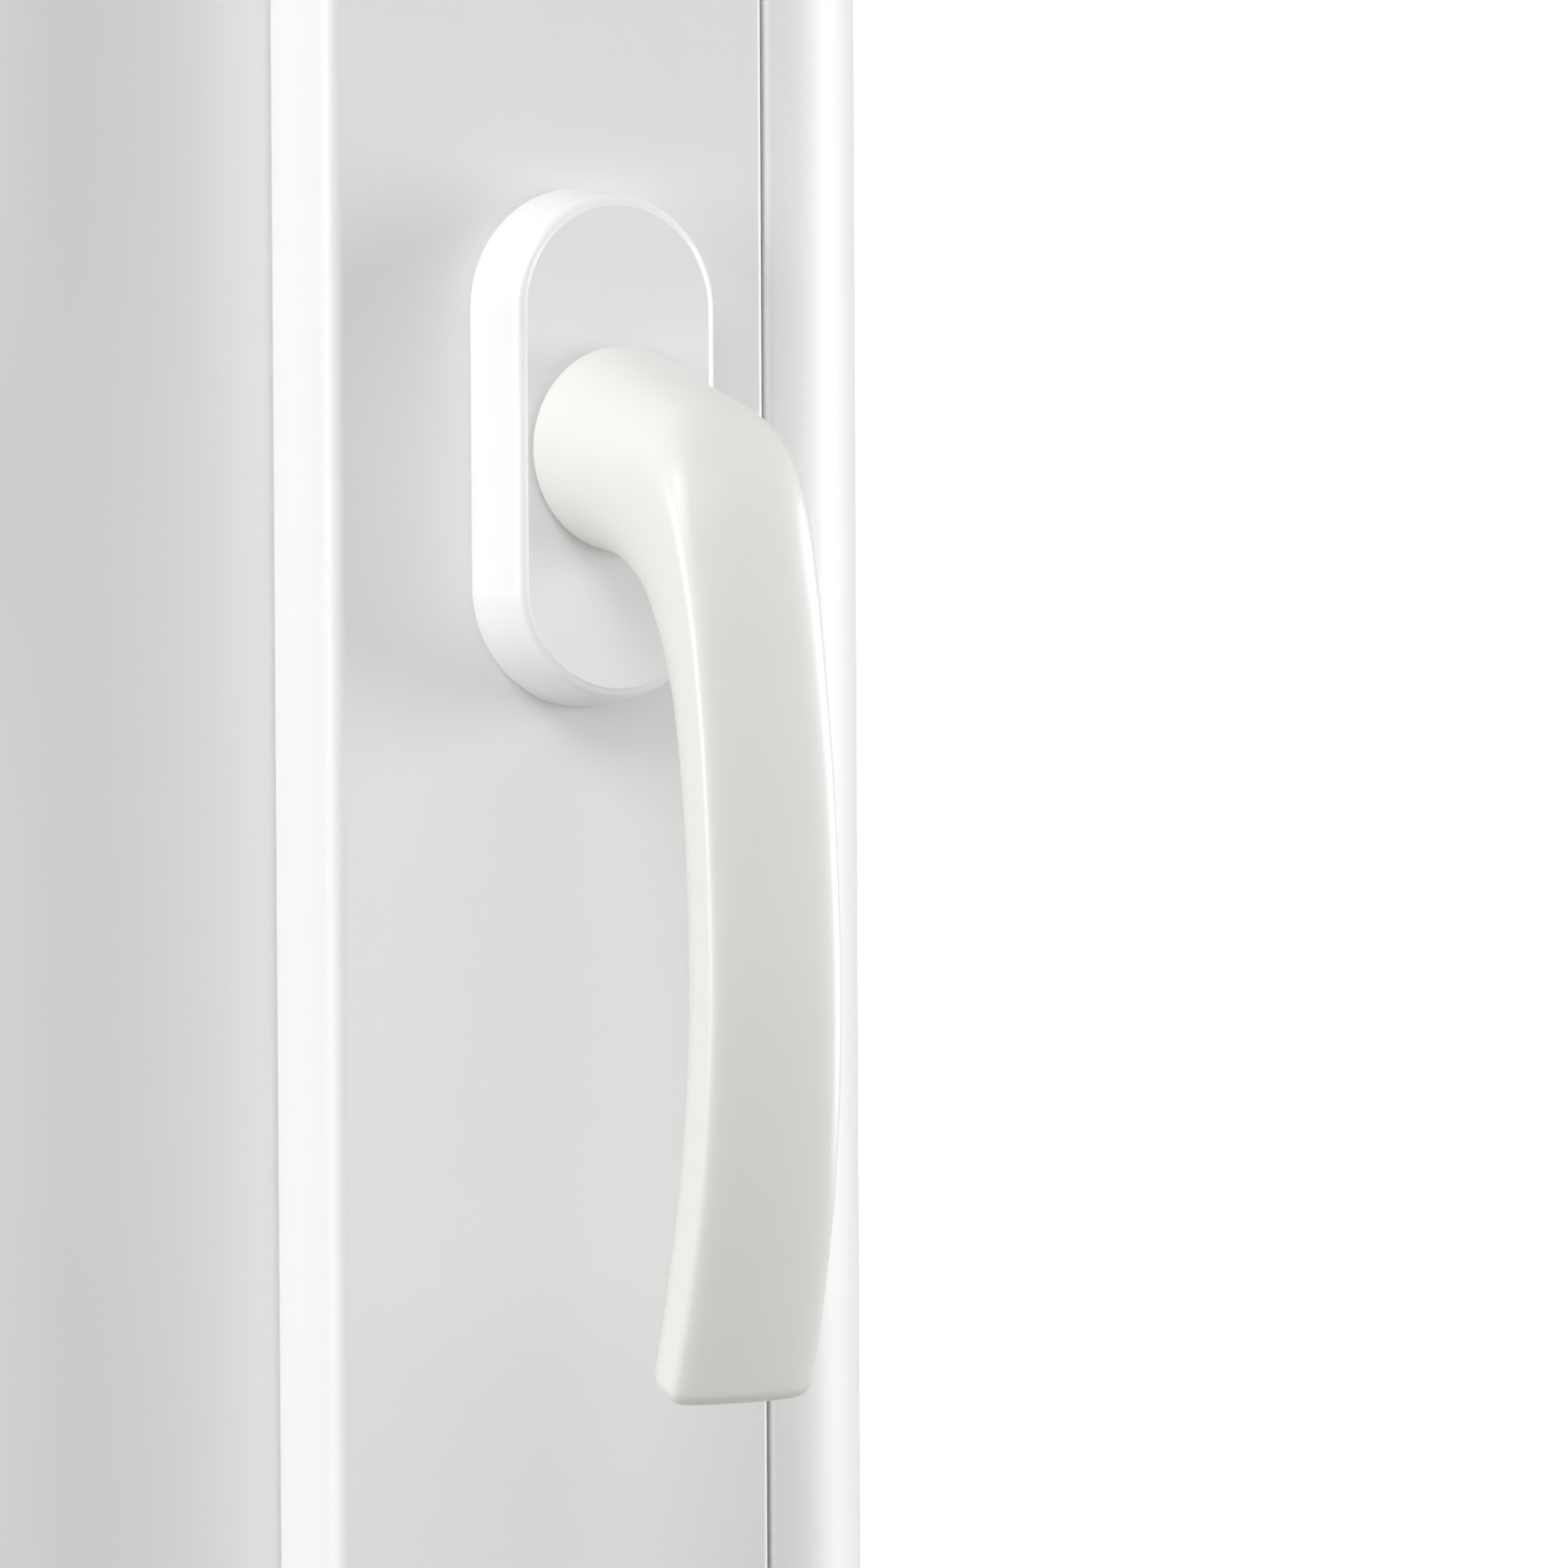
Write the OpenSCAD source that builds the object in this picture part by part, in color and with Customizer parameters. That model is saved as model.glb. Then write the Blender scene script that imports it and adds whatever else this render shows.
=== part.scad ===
// Side-hung casement window, opening inwards: outer frame, sash, sealed glass unit and lever handle.
// X runs to the right seen from the room, -Y points into the room, +Z is up.
// The origin is the middle of the outer frame's underside, at half its depth.

/* [Overall] */
// Width of the outer frame
frame_w = 800; // [700:10:1200]
// Height of the outer frame
frame_h = 1200; // [1000:10:1600]
// Depth of the outer frame from room face to outside face
frame_d = 70; // [66:1:84]
// Height of the handle's axis above the frame's underside
handle_z = 600; // [500:10:800]

/* [Frame section] */
// Width of the frame section from its outer edge to the rebate
jamb_face = 64; // [54:1:78]
// Height of the stop beyond the rebate
stop_h = 20; // [17:1:24]
// Thickness of the stop
stop_t = 16; // [14:1:19]
// Thickness of the outer walls of every hollow section
wall = 2.6; // [2.2:0.1:3.1]
// Thickness of the webs between chambers
web = 1.6; // [1.2:0.1:2]
// Thickness of the steel reinforcement
steel_t = 1.8; // [1.5:0.1:2.2]

/* [Sash section] */
// Width by which the sash lip covers the frame's face
overlap = 8; // [7:1:10]
// Air gap between the frame's rebate and the sash
rebate_air = 12; // [10:1:14]
// Thickness of the sash lip
lip_t = 15.3; // [13:0.1:18.4]
// Gap between the sash lip and the frame's face
seal_gap = 1.2; // [1:0.1:2]
// Gap between the sash's back and the frame's stop
stop_gap = 5; // [4:0.5:6]
// Width of the sash's face from its edge to the bead joint
sash_face = 67; // [62:0.1:80.4]
// Width of the open joint between sash and bead
joint_gap = 1.2; // [0.8:0.1:1.5]
// Visible width of the glazing bead
bead_w = 20.8; // [18:0.1:25]
// Width of the bead's flat strip before its curve
bead_flat = 4; // [3:0.5:5]
// Drop of the bead's curve from the sash's face
bead_drop = 9.2; // [7.6:0.1:11]
// Thickness of the sash's outer glazing leg
leg_t = 12; // [10:1:14]
// Depth of the groove that the bead's hook snaps into
hook_d = 3; // [2.5:0.1:3.6]

/* [Glass] */
// Thickness of each pane
pane_t = 4; // [3:1:5]
// Width of the cavity between the panes
cavity = 16; // [12:1:19]
// Gap between the glass edge and the sash
edge_gap = 5.6; // [4.5:0.1:6.8]
// Thickness of the glazing gaskets
gasket_t = 3; // [2.5:0.1:3.6]
// Width of the spacer bar
spacer_w = 7; // [6:0.5:8]
// Width of the sealant behind the spacer bar
sealant_w = 5.5; // [4.5:0.5:6.5]

/* [Lock] */
// Distance of the hardware axis behind the sash lip
hardware_axis = 14.2; // [12:0.1:17]
// Width of the faceplate
plate_w = 16; // [15:0.5:19]
// Thickness of the faceplate
plate_t = 2.5; // [2:0.1:3]
// Distance of the faceplate's ends from the frame's outer edge
plate_end = 100; // [92:1:120]
// Width of the drive rod
rod_w = 8.4; // [7:0.1:9.4]
// Thickness of the drive rod
rod_t = 2.3; // [2:0.1:2.8]
// Module of the pinion and rack
gear_module = 1.5; // [1.25:0.05:1.6]
// Number of teeth on the pinion
gear_teeth = 15; // [14:1:16]
// Height of the gear case
case_h = 110; // [92:1:132]
// Radius of the locking rollers
roller_r = 5; // [4.2:0.1:6]
// Height of the locking rollers
roller_h = 5.6; // [4.7:0.1:6]
// Distance of the end locking points from the frame's outer edge
lock_end = 190; // [160:1:228]
// Depth of the middle locking point below the handle's axis
lock_mid = 205; // [170:1:246]
// Length of the striker plates
striker_h = 76; // [70:1:90]

/* [Handle] */
// Distance of the handle's axis from the sash edge
handle_in = 38.1; // [36:0.1:42]
// Width of the rosette at its foot
rosette_w = 33.4; // [31:0.1:36]
// Height of the rosette at its foot
rosette_h = 70; // [64:1:84]
// Projection of the rosette
rosette_t = 11; // [10:0.5:13]
// Spacing of the two handle screws
screw_gap = 43; // [40:0.5:46]
// Side of the square spindle
spindle = 7; // [6:0.5:8]
// Length of the lever below its axis
lever_l = 126; // [105:1:151]
// Width of the lever
lever_w = 20.5; // [17:0.5:24]
// Thickness of the lever
lever_t = 12; // [10:0.5:14]
// Projection of the lever from the sash's face
lever_out = 54; // [50:0.5:62]
// Radius of the lever's neck at the rosette
neck_r = 14; // [12:0.5:15]

/* [Hinges] */
// Distance of the hinge axis beyond the sash edge
hinge_out = 11; // [10:0.5:13]
// Distance of the hinge axis behind the sash's face
hinge_back = 2; // [1:0.5:3]
// Radius of the hinge knuckles
knuckle_r = 8; // [7:0.5:8.5]
// Radius of the hinge pin
pin_r = 3.5; // [3:0.1:4.2]
// Height of each hinge
hinge_h = 90; // [80:1:108]
// Distance of each hinge from the frame's end
hinge_end = 130; // [110:1:156]
// Thickness of the hinge leaves
leaf_t = 3; // [2.5:0.5:3.5]

/* [Fixings] */
// Radius of the fixing holes through the jambs
fixing_r = 3.75; // [3:0.05:4.5]
// Distance of the end fixings from the frame's ends
fixing_end = 150; // [125:1:180]
// Spacing of the inner pair of fixings
fixing_gap = 300; // [250:1:360]

/* [Hidden] */
$fn = 48;

// Clearances
fit = 0.4; // pieces that slide into a chamber
close_fit = 0.3; // pieces seated beside each other
running = 0.05; // radial clearance of shafts that turn
cut = 1; // how far a cutting shape runs past a face

// Depths, from the room side to the outside
room_y = -frame_d / 2;
out_y = frame_d / 2;
lip_back_y = room_y - seal_gap;
face_y = lip_back_y - lip_t;
stop_y = out_y - stop_t;
back_y = stop_y - stop_gap;
leg_y = back_y - leg_t;
glass_out_y = leg_y - gasket_t;
glass_in_y = glass_out_y - 2 * pane_t - cavity;
bead_foot_y = glass_in_y - gasket_t;
hardware_y = lip_back_y + hardware_axis;

// Distances from the frame's outer edge towards the middle of the opening
lip_u = jamb_face - overlap;
side_u = jamb_face + rebate_air;
joint_u = lip_u + sash_face;
platform_u = joint_u - joint_gap / 2;
bead_u = joint_u + joint_gap / 2;
sight_u = joint_u + bead_w;
glass_u = platform_u + edge_gap;
handle_u = lip_u + handle_in;
handle_x = handle_u - frame_w / 2;

// Chambers
room_chamber = 9;
side_chamber = 7;
rod_space = 8.5;
groove_w = plate_w - 3.6;
frame_main_y = room_y + wall + room_chamber + web;
frame_main_u = jamb_face - wall - side_chamber - web;
sash_main_u = side_u + plate_t + rod_space + web;
sash_inner_u = platform_u - hook_d - wall;
sash_main_y0 = lip_back_y - wall + web;
sash_main_y1 = leg_y - wall - web - 2;
hook_y = face_y + 12;
hook_t = 2.4;
bead_wall = wall - 0.6;
bead_step = 3; // depth of the open joint beside the bead
bead_taper = 1.5;
seal_w = 9; // width of the glazing gaskets
block_l = 80; // length of a setting block
block_end = 60; // distance of a setting block from the glass corner
drain_w = 28;
drain_h = 4;
drain_cap = [40, 3, 12];
drain_cap_wall = 1;
steel_end = 6;
edge_r = 1.2; // edges that show on the frame
soft_r = 0.8; // edges beside another piece
lip_r = 1.5; // front edge of the sash lip
seal_slot_u = 6; // groove for the stop's seal, beyond the rebate
seal_slot_w = 3;
seal_slot_d = 1.6;
lip_slot_u = 4; // groove for the lip's seal, inside the lip's edge
half_u = jamb_face / 2;
face_web_u = handle_u - web / 2 - 5; // web behind the sash's face
back_web_u = handle_u + 4; // web behind the sash's back
seat = plate_w / 2 + 0.2; // half the width of the faceplate's seat

// Lock
pressure = 20;
backlash = 0.1;
pitch_r = gear_module * gear_teeth / 2;
base_r = pitch_r * cos(pressure);
addendum = 0.8 * gear_module;
dedendum = gear_module;
gear_r = pitch_r + addendum;
tooth = PI * gear_module / 2 - backlash;
travel = pitch_r * PI / 2;
plate_in_u = side_u + plate_t;
rod_u = plate_in_u + 0.5;
pitch_u = handle_u - pitch_r;
case_t = 1.5;
case_in = rod_w / 2 + fit;
case_out = case_in + case_t;
case_u = handle_u + gear_r + 1;
case_back = hardware_y + case_out - face_y; // depth of the gear case's back below the sash's face
hub_r = 7;
boss_r = 5;
screw_r = 2.5;
LOCKS = [frame_h - lock_end, handle_z - lock_mid, lock_end]; // heights of the rollers
roller_pin_r = 2.6;
rod_end = 15; // how far the rod runs past its end rollers
roller_head_r = 3.8;
striker_t = 2;
striker_w = 24;
striker_in = 2; // distance of the striker from the frame's room face
rib_gap = 1.5;
rib_h = 5;
rib_t = 4;
rib_end = 16;
roller_u = jamb_face + striker_t + 2.5;

// Handle
gap_to_rosette = 0.6;
hub_neck_r = 10;
base_t = 5;
cover_wall = 1.6;
draft = 1.4; // how much the rosette narrows on each side
socket_depth = 22;
recess_t = 1.8; // recess in the rosette base for the circlip
circlip_t = 1.2;
screw_head_r = 4.5;
screw_head_t = 2.4;
front_r = 318; // bow of the lever above its crest
tip_r = 132; // bow of the lever below its crest

// Hinges
axis_u = lip_u - hinge_out;
axis_y = face_y + hinge_back;
knuckle_gap = 0.6;
knuckle_h = (hinge_h - knuckle_gap) / 2;
HINGES = [frame_h - hinge_end - hinge_h, hinge_end];
frame_leaf_y = room_y - axis_y; // seen from the hinge's axis
sash_leaf_y = face_y - axis_y;
frame_leaf_x = [-6, 30];
sash_leaf_x = -37;
arm_w = 10;
cover_t = 4;
cover_wall_t = 1.5;
pin_head_h = 3;
wood_screw_r = 2;
wood_head_r = 3.6;
wood_head_t = 1.6;
wood_screw_l = 22;
lip_screw_l = leaf_t + lip_t - 3;
plate_screw_l = plate_t + rod_space + web;

FIXINGS = [fixing_end, frame_h / 2 - fixing_gap / 2, frame_h / 2 + fixing_gap / 2, frame_h - fixing_end];

white_pvc = [0.93, 0.94, 0.94];
white_coat = [0.95, 0.95, 0.94];
grey_seal = [0.62, 0.63, 0.64];
zinc = [0.7, 0.72, 0.74];
steel = [0.6, 0.62, 0.64];

// ---- outlines ----

function flat(p) = [p[0], p[1]];
function unit(v) = v / norm(v);

// One corner [x, y, radius] of an outline, between its neighbours p and s
function corner(p, q, s) = q[2] == 0 ? [flat(q)] :
  let (a = unit(flat(p) - flat(q)),
       b = unit(flat(s) - flat(q)),
       half = acos(a * b) / 2,
       reach = q[2] / tan(half),
       middle = flat(q) + unit(a + b) * q[2] / sin(half),
       first = flat(q) + a * reach - middle,
       last = flat(q) + b * reach - middle,
       from = atan2(first[1], first[0]),
       turn = (atan2(last[1], last[0]) - from + 900) % 360 - 180)
  [for (k = [0:4]) middle + q[2] * [cos(from + turn * k / 4), sin(from + turn * k / 4)]];

// A closed outline with rounded corners
function rounded(c) = [for (i = [0:len(c) - 1])
  each corner(c[(i + len(c) - 1) % len(c)], c[i], c[(i + 1) % len(c)])];

// A chamber or web between two corners
module patch(u0, u1, y0, y1) {
  translate([u0, y0]) square([u1 - u0, y1 - y0]);
}

// ---- members that run round the window ----

function vertical(side) = side == "left" || side == "right";
function run(side) = vertical(side) ? frame_h : frame_w;

// Turns a piece drawn on the left jamb, its foot at z = 0, onto any side
module along(side) {
  if (side == "left") translate([-frame_w / 2, 0, 0]) children();
  if (side == "right") mirror([1, 0, 0]) translate([-frame_w / 2, 0, 0]) children();
  if (side == "bottom") translate([-frame_w / 2, 0, 0]) mirror([1, 0, -1]) children();
  if (side == "top") translate([-frame_w / 2, 0, frame_h]) mirror([0, 0, 1]) mirror([1, 0, -1]) children();
}

// A section run along one side, mitred at both ends
module member(side, reach) {
  along(side) intersection() {
    linear_extrude(run(side)) children();
    rotate([90, 0, 0]) linear_extrude(4 * frame_d, center = true)
      polygon([[0, 0], [reach, reach], [reach, run(side) - reach], [0, run(side)]]);
  }
}

// A section run round all four sides as one ring
module ring(reach) {
  for (side = ["left", "right", "top", "bottom"]) member(side, reach) children();
}

// ---- outer frame ----

module frame_section() {
  difference() {
    polygon(rounded([[0, room_y, soft_r], [jamb_face, room_y, edge_r], [jamb_face, stop_y, 0],
      [jamb_face + stop_h, stop_y, edge_r], [jamb_face + stop_h, out_y, edge_r], [0, out_y, soft_r]]));
    for (y = [room_y + wall, out_y - wall - room_chamber]) {
      patch(wall, half_u - web / 2, y, y + room_chamber);
      patch(half_u + web / 2, jamb_face - wall, y, y + room_chamber);
    }
    patch(wall, frame_main_u, frame_main_y, -frame_main_y);
    patch(frame_main_u + web, jamb_face - wall, frame_main_y, -frame_main_y);
    patch(jamb_face, jamb_face + stop_h - wall, stop_y + wall, out_y - wall);
    patch(jamb_face + seal_slot_u, jamb_face + seal_slot_u + seal_slot_w, stop_y - cut, stop_y + seal_slot_d);
  }
}

module fixing_holes() {
  for (z = FIXINGS)
    translate([-cut, 0, z]) rotate([0, 90, 0]) cylinder(h = jamb_face + 2 * cut, r = fixing_r);
}

module jamb(side) {
  difference() {
    member(side, jamb_face + stop_h) frame_section();
    along(side) fixing_holes();
    if (side == "left") along(side) striker_screw_places() screw_hole();
    if (side == "right") hinge_places() hinge_frame_screw_places() screw_hole();
  }
}

module frame_jamb_left() { color(white_pvc) jamb("left"); }
module frame_jamb_right() { color(white_pvc) jamb("right"); }
module frame_head() { color(white_pvc) member("top", jamb_face + stop_h) frame_section(); }

// Drain slots through the sill's outside wall
module drain_places() {
  for (x = [-frame_w / 4, frame_w / 4]) translate([x, out_y, jamb_face / 4]) children();
}

module frame_sill() {
  color(white_pvc) difference() {
    member("bottom", jamb_face + stop_h) frame_section();
    drain_places() translate([-drain_w / 2, -wall - cut, -drain_h / 2])
      cube([drain_w, wall + 2 * cut, drain_h]);
  }
}

module drain_caps() {
  color(white_pvc) drain_places() difference() {
    translate([-drain_cap[0] / 2, 0, -drain_cap[2] / 2]) cube(drain_cap);
    translate([drain_cap_wall - drain_cap[0] / 2, -cut, -drain_cap[2] / 2 - cut])
      cube([drain_cap[0] - 2 * drain_cap_wall, drain_cap[1] - drain_cap_wall + cut,
        drain_cap[2] - drain_cap_wall + cut]);
  }
}

// Box of steel inside the frame's main chamber
module frame_steel(side) {
  wide = frame_main_u - wall - 2 * fit;
  deep = -2 * frame_main_y - 2 * fit;
  along(side) difference() {
    translate([wall + fit, frame_main_y + fit, jamb_face + steel_end])
      cube([wide, deep, run(side) - 2 * (jamb_face + steel_end)]);
    translate([wall + fit + steel_t, frame_main_y + fit + steel_t, 0])
      cube([wide - 2 * steel_t, deep - 2 * steel_t, run(side)]);
    if (vertical(side)) fixing_holes();
  }
}

module frame_steel_jambs() {
  color(steel) difference() {
    for (side = ["left", "right"]) frame_steel(side);
    hinge_places() hinge_frame_screw_places() screw_hole();
  }
}

module frame_steel_rails() { color(steel) for (side = ["top", "bottom"]) frame_steel(side); }

// Seal on the stop: a foot in the stop's groove and a lip that the sash presses on
module frame_stop_gasket() {
  color(grey_seal) ring(jamb_face + stop_h) {
    slot = jamb_face + seal_slot_u;
    patch(slot + 0.2, slot + seal_slot_w - 0.2, stop_y - 1, stop_y + seal_slot_d - 0.2);
    polygon(rounded([[slot - 1, stop_y, 0.3], [slot + seal_slot_w + 2, stop_y, 0.3],
      [slot + seal_slot_w + 6, back_y + close_fit, 0.6],
      [slot + seal_slot_w + 3.5, back_y + close_fit, 0.6]]));
  }
}

// ---- strikers on the left jamb ----

module striker_screw_places() {
  for (z = LOCKS) for (side = [-1, 1])
    translate([jamb_face + striker_t, room_y + striker_in + 8, z + side * (striker_h / 2 - 8)])
      rotate([0, -90, 0]) children();
}

// A headed screw with its head's face at z = 0, and the hole it needs
module screw(long = wood_screw_l) {
  cylinder(h = wood_head_t, r = wood_head_r);
  cylinder(h = long, r = wood_screw_r);
}

module screw_hole(long = wood_screw_l) {
  translate([0, 0, -cut]) cylinder(h = wood_head_t + cut, r = wood_head_r + running);
  translate([0, 0, -cut]) cylinder(h = long + 2 * cut, r = wood_screw_r + running);
}

// Plate with a run-in rib behind the roller's path
module striker(z) {
  rib_y = hardware_y + roller_r + rib_gap;
  color(zinc) along("left") difference() {
    union() {
      translate([jamb_face, room_y + striker_in, z - striker_h / 2]) cube([striker_t, striker_w, striker_h]);
      translate([jamb_face, rib_y, z - striker_h / 2 + rib_end])
        cube([striker_t + rib_h, rib_t, striker_h - 2 * rib_end]);
    }
    striker_screw_places() screw_hole();
  }
}

module striker_top() { striker(LOCKS[0]); }
module striker_middle() { striker(LOCKS[1]); }
module striker_bottom() { striker(LOCKS[2]); }
module striker_screws() { color(zinc) along("left") striker_screw_places() screw(); }

// ---- sash ----

module sash_section() {
  difference() {
    polygon(rounded([[lip_u, face_y, lip_r], [platform_u, face_y, soft_r], [platform_u, leg_y, 0],
      [sight_u, leg_y, soft_r], [sight_u, back_y, edge_r], [side_u, back_y, edge_r], [side_u, lip_back_y, 0],
      [lip_u, lip_back_y, soft_r]]));
    patch(lip_u + wall, side_u - web / 2, face_y + wall, lip_back_y - wall);
    patch(side_u + web / 2, face_web_u - web / 2, face_y + wall, lip_back_y - wall);
    patch(face_web_u + web / 2, sash_inner_u, face_y + wall, lip_back_y - wall);
    patch(side_u - cut, plate_in_u, hardware_y - seat, hardware_y + seat);
    patch(plate_in_u - cut, plate_in_u + rod_space, hardware_y - groove_w / 2, hardware_y + groove_w / 2);
    patch(side_u + wall, sash_main_u - web, hardware_y + seat + wall, sash_main_y1);
    patch(sash_main_u, sash_inner_u, sash_main_y0, sash_main_y1);
    patch(side_u + wall, back_web_u - web / 2, sash_main_y1 + web, back_y - wall);
    patch(back_web_u + web / 2, platform_u - wall, sash_main_y1 + web, back_y - wall);
    patch(platform_u, sight_u - wall, leg_y + wall, back_y - wall);
    patch(platform_u - hook_d - close_fit, platform_u + cut, hook_y - close_fit, hook_y + hook_t + close_fit);
    patch(lip_u + lip_slot_u, lip_u + lip_slot_u + seal_slot_w, lip_back_y - seal_slot_d, lip_back_y + cut);
  }
}

module handle_place() {
  translate([handle_x, face_y, handle_z]) rotate([90, 0, 0]) children();
}

// Pocket for the gear case and holes for the spindle and the handle's screws
module lock_cuts() {
  along("left") translate([side_u - cut, hardware_y - case_out - fit, handle_z - case_h / 2 - fit])
    cube([case_u + case_t + fit - side_u + cut, 2 * (case_out + fit), case_h + 2 * fit]);
  handle_place() translate([0, 0, -frame_d / 2]) cylinder(h = frame_d, r = spindle + 1);
  handle_place() for (side = [-1, 1])
    translate([0, side * screw_gap / 2, -frame_d / 2]) cylinder(h = frame_d, r = screw_r + 0.5);
}

module sash_stile_left() {
  color(white_pvc) difference() {
    member("left", sight_u) sash_section();
    intersection() {
      lock_cuts();
      translate([-frame_w, face_y - cut, 0]) cube([frame_w, case_back + fit + cut, frame_h]);
    }
    along("left") faceplate_screw_places() screw_hole(plate_screw_l);
  }
}

module sash_stile_right() {
  color(white_pvc) difference() {
    member("right", sight_u) sash_section();
    hinge_places() hinge_sash_screw_places() screw_hole(lip_screw_l);
  }
}

module sash_rail_top() { color(white_pvc) member("top", sight_u) sash_section(); }
module sash_rail_bottom() { color(white_pvc) member("bottom", sight_u) sash_section(); }

// Channel of steel in the sash's main chamber, open towards the hardware groove
module sash_steel(side) {
  inner_u = sash_main_u + fit;
  deep = sash_main_y1 - sash_main_y0 - 2 * fit;
  wide = sash_inner_u - sash_main_u - 2 * fit;
  long = run(side) - 2 * (sight_u + steel_end);
  along(side) translate([inner_u, sash_main_y0 + fit, sight_u + steel_end]) difference() {
    cube([wide, deep, long]);
    translate([-cut, steel_t, -cut]) cube([wide - steel_t + cut, deep - 2 * steel_t, long + 2 * cut]);
  }
}

module sash_steel_stiles() {
  color(steel) difference() {
    for (side = ["left", "right"]) sash_steel(side);
    lock_cuts();
    hinge_places() hinge_sash_screw_places() screw_hole(lip_screw_l);
  }
}

module sash_steel_rails() { color(steel) for (side = ["top", "bottom"]) sash_steel(side); }

module sash_overlap_gasket() {
  slot = lip_u + lip_slot_u;
  color(grey_seal) ring(side_u) {
    patch(slot + 0.2, slot + seal_slot_w - 0.2, lip_back_y - seal_slot_d + 0.2, lip_back_y + 0.4);
    polygon(rounded([[slot - 1.5, lip_back_y, 0.2], [slot + seal_slot_w + 2, lip_back_y, 0.2],
      [slot + seal_slot_w + 1, room_y - close_fit, 0.3], [slot, room_y - close_fit, 0.3]]));
  }
}

// ---- glass unit ----

// A box that stands inside the window, inset u from the outer edge all round
module inset_box(u, y0, y1) {
  translate([u - frame_w / 2, y0, u]) cube([frame_w - 2 * u, y1 - y0, frame_h - 2 * u]);
}

module pane_inner() { color([0.8, 0.9, 0.9, 0.35]) inset_box(glass_u, glass_in_y, glass_in_y + pane_t); }
module pane_outer() { color([0.8, 0.9, 0.9, 0.35]) inset_box(glass_u, glass_out_y - pane_t, glass_out_y); }

module inset_ring(u, w) {
  difference() {
    inset_box(u, glass_in_y + pane_t, glass_out_y - pane_t);
    inset_box(u + w, glass_in_y, glass_out_y);
  }
}

module spacer_bar() { color([0.7, 0.7, 0.72]) inset_ring(glass_u + sealant_w, spacer_w); }
module edge_sealant() { color([0.2, 0.2, 0.2]) inset_ring(glass_u, sealant_w); }

module glazing_gasket() {
  color(grey_seal) ring(sight_u + 1)
    polygon([[sight_u - seal_w, leg_y], [sight_u - 0.6, leg_y], [sight_u + 0.6, glass_out_y],
      [sight_u - seal_w, glass_out_y]]);
}

module bead_gasket() {
  color(grey_seal) ring(sight_u + 1)
    polygon([[sight_u - seal_w, bead_foot_y], [sight_u - 0.4, bead_foot_y], [sight_u + 0.8, glass_in_y],
      [sight_u - seal_w, glass_in_y]]);
}

// Two packers between the glass edge and the sash on each side
module setting_blocks() {
  color([0.3, 0.45, 0.7]) for (side = ["left", "right", "top", "bottom"])
    along(side) for (z = [sight_u + block_end, run(side) - sight_u - block_end - block_l])
      translate([platform_u, bead_foot_y + close_fit, z])
        cube([edge_gap, leg_y - bead_foot_y - 2 * close_fit, block_l]);
}

// ---- glazing beads ----

module bead_section() {
  curve_u = bead_u + bead_flat - joint_gap;
  across = sight_u - curve_u;
  curve_r = (across * across + bead_drop * bead_drop) / (2 * bead_drop);
  sweep = asin(across / curve_r);
  slope = [for (k = [0:10])
    [curve_u + curve_r * sin(sweep * k / 10), face_y + curve_r * (1 - cos(sweep * k / 10)), 0]];
  difference() {
    union() {
      polygon(rounded(concat([[platform_u, bead_foot_y, 0], [platform_u, face_y + bead_step + bead_taper, 0],
        [bead_u, face_y + bead_step, 0], [bead_u, face_y, soft_r]], slope, [[sight_u, bead_foot_y, 0.3]])));
      patch(platform_u - hook_d, platform_u, hook_y, hook_y + hook_t);
    }
    polygon([[bead_u + bead_wall, face_y + wall], [curve_u + across / 4, face_y + wall],
      [sight_u - bead_wall, face_y + bead_drop + 1], [sight_u - bead_wall, bead_foot_y - bead_wall],
      [bead_u + bead_wall, bead_foot_y - bead_wall]]);
  }
}

module bead_left() { color(white_pvc) member("left", sight_u) bead_section(); }
module bead_right() { color(white_pvc) member("right", sight_u) bead_section(); }
module bead_top() { color(white_pvc) member("top", sight_u) bead_section(); }
module bead_bottom() { color(white_pvc) member("bottom", sight_u) bead_section(); }

// ---- hinges on the right ----

// Each hinge is drawn at its axis, its foot at z = 0, with +Y towards the frame
module hinge_places() {
  for (z = HINGES) hinge_at(z) children();
}

module hinge_at(z) {
  translate([frame_w / 2 - axis_u, axis_y, z]) children();
}

module hinge_frame_screw_places() {
  for (z = [12, hinge_h - 12]) for (x = [frame_leaf_x[1] / 2, frame_leaf_x[1] - 6])
    translate([x, frame_leaf_y - leaf_t, z]) rotate([-90, 0, 0]) children();
}

module hinge_sash_screw_places() {
  for (z = [knuckle_h + 10, hinge_h - 10]) for (x = [sash_leaf_x + 6, sash_leaf_x / 2])
    translate([x, sash_leaf_y - leaf_t, z]) rotate([-90, 0, 0]) children();
}

module pin_bore() {
  translate([0, 0, -cut]) cylinder(h = hinge_h + 2 * cut, r = pin_r + running);
}

module hinge_frame_leaf(z) {
  color(white_coat) hinge_at(z) difference() {
    union() {
      translate([frame_leaf_x[0], frame_leaf_y - leaf_t, 0])
        cube([frame_leaf_x[1] - frame_leaf_x[0], leaf_t, hinge_h]);
      translate([-arm_w / 2, 0, 0]) cube([arm_w, frame_leaf_y - leaf_t, knuckle_h]);
      cylinder(h = knuckle_h, r = knuckle_r);
    }
    hinge_frame_screw_places() screw_hole();
    pin_bore();
  }
}

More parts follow.
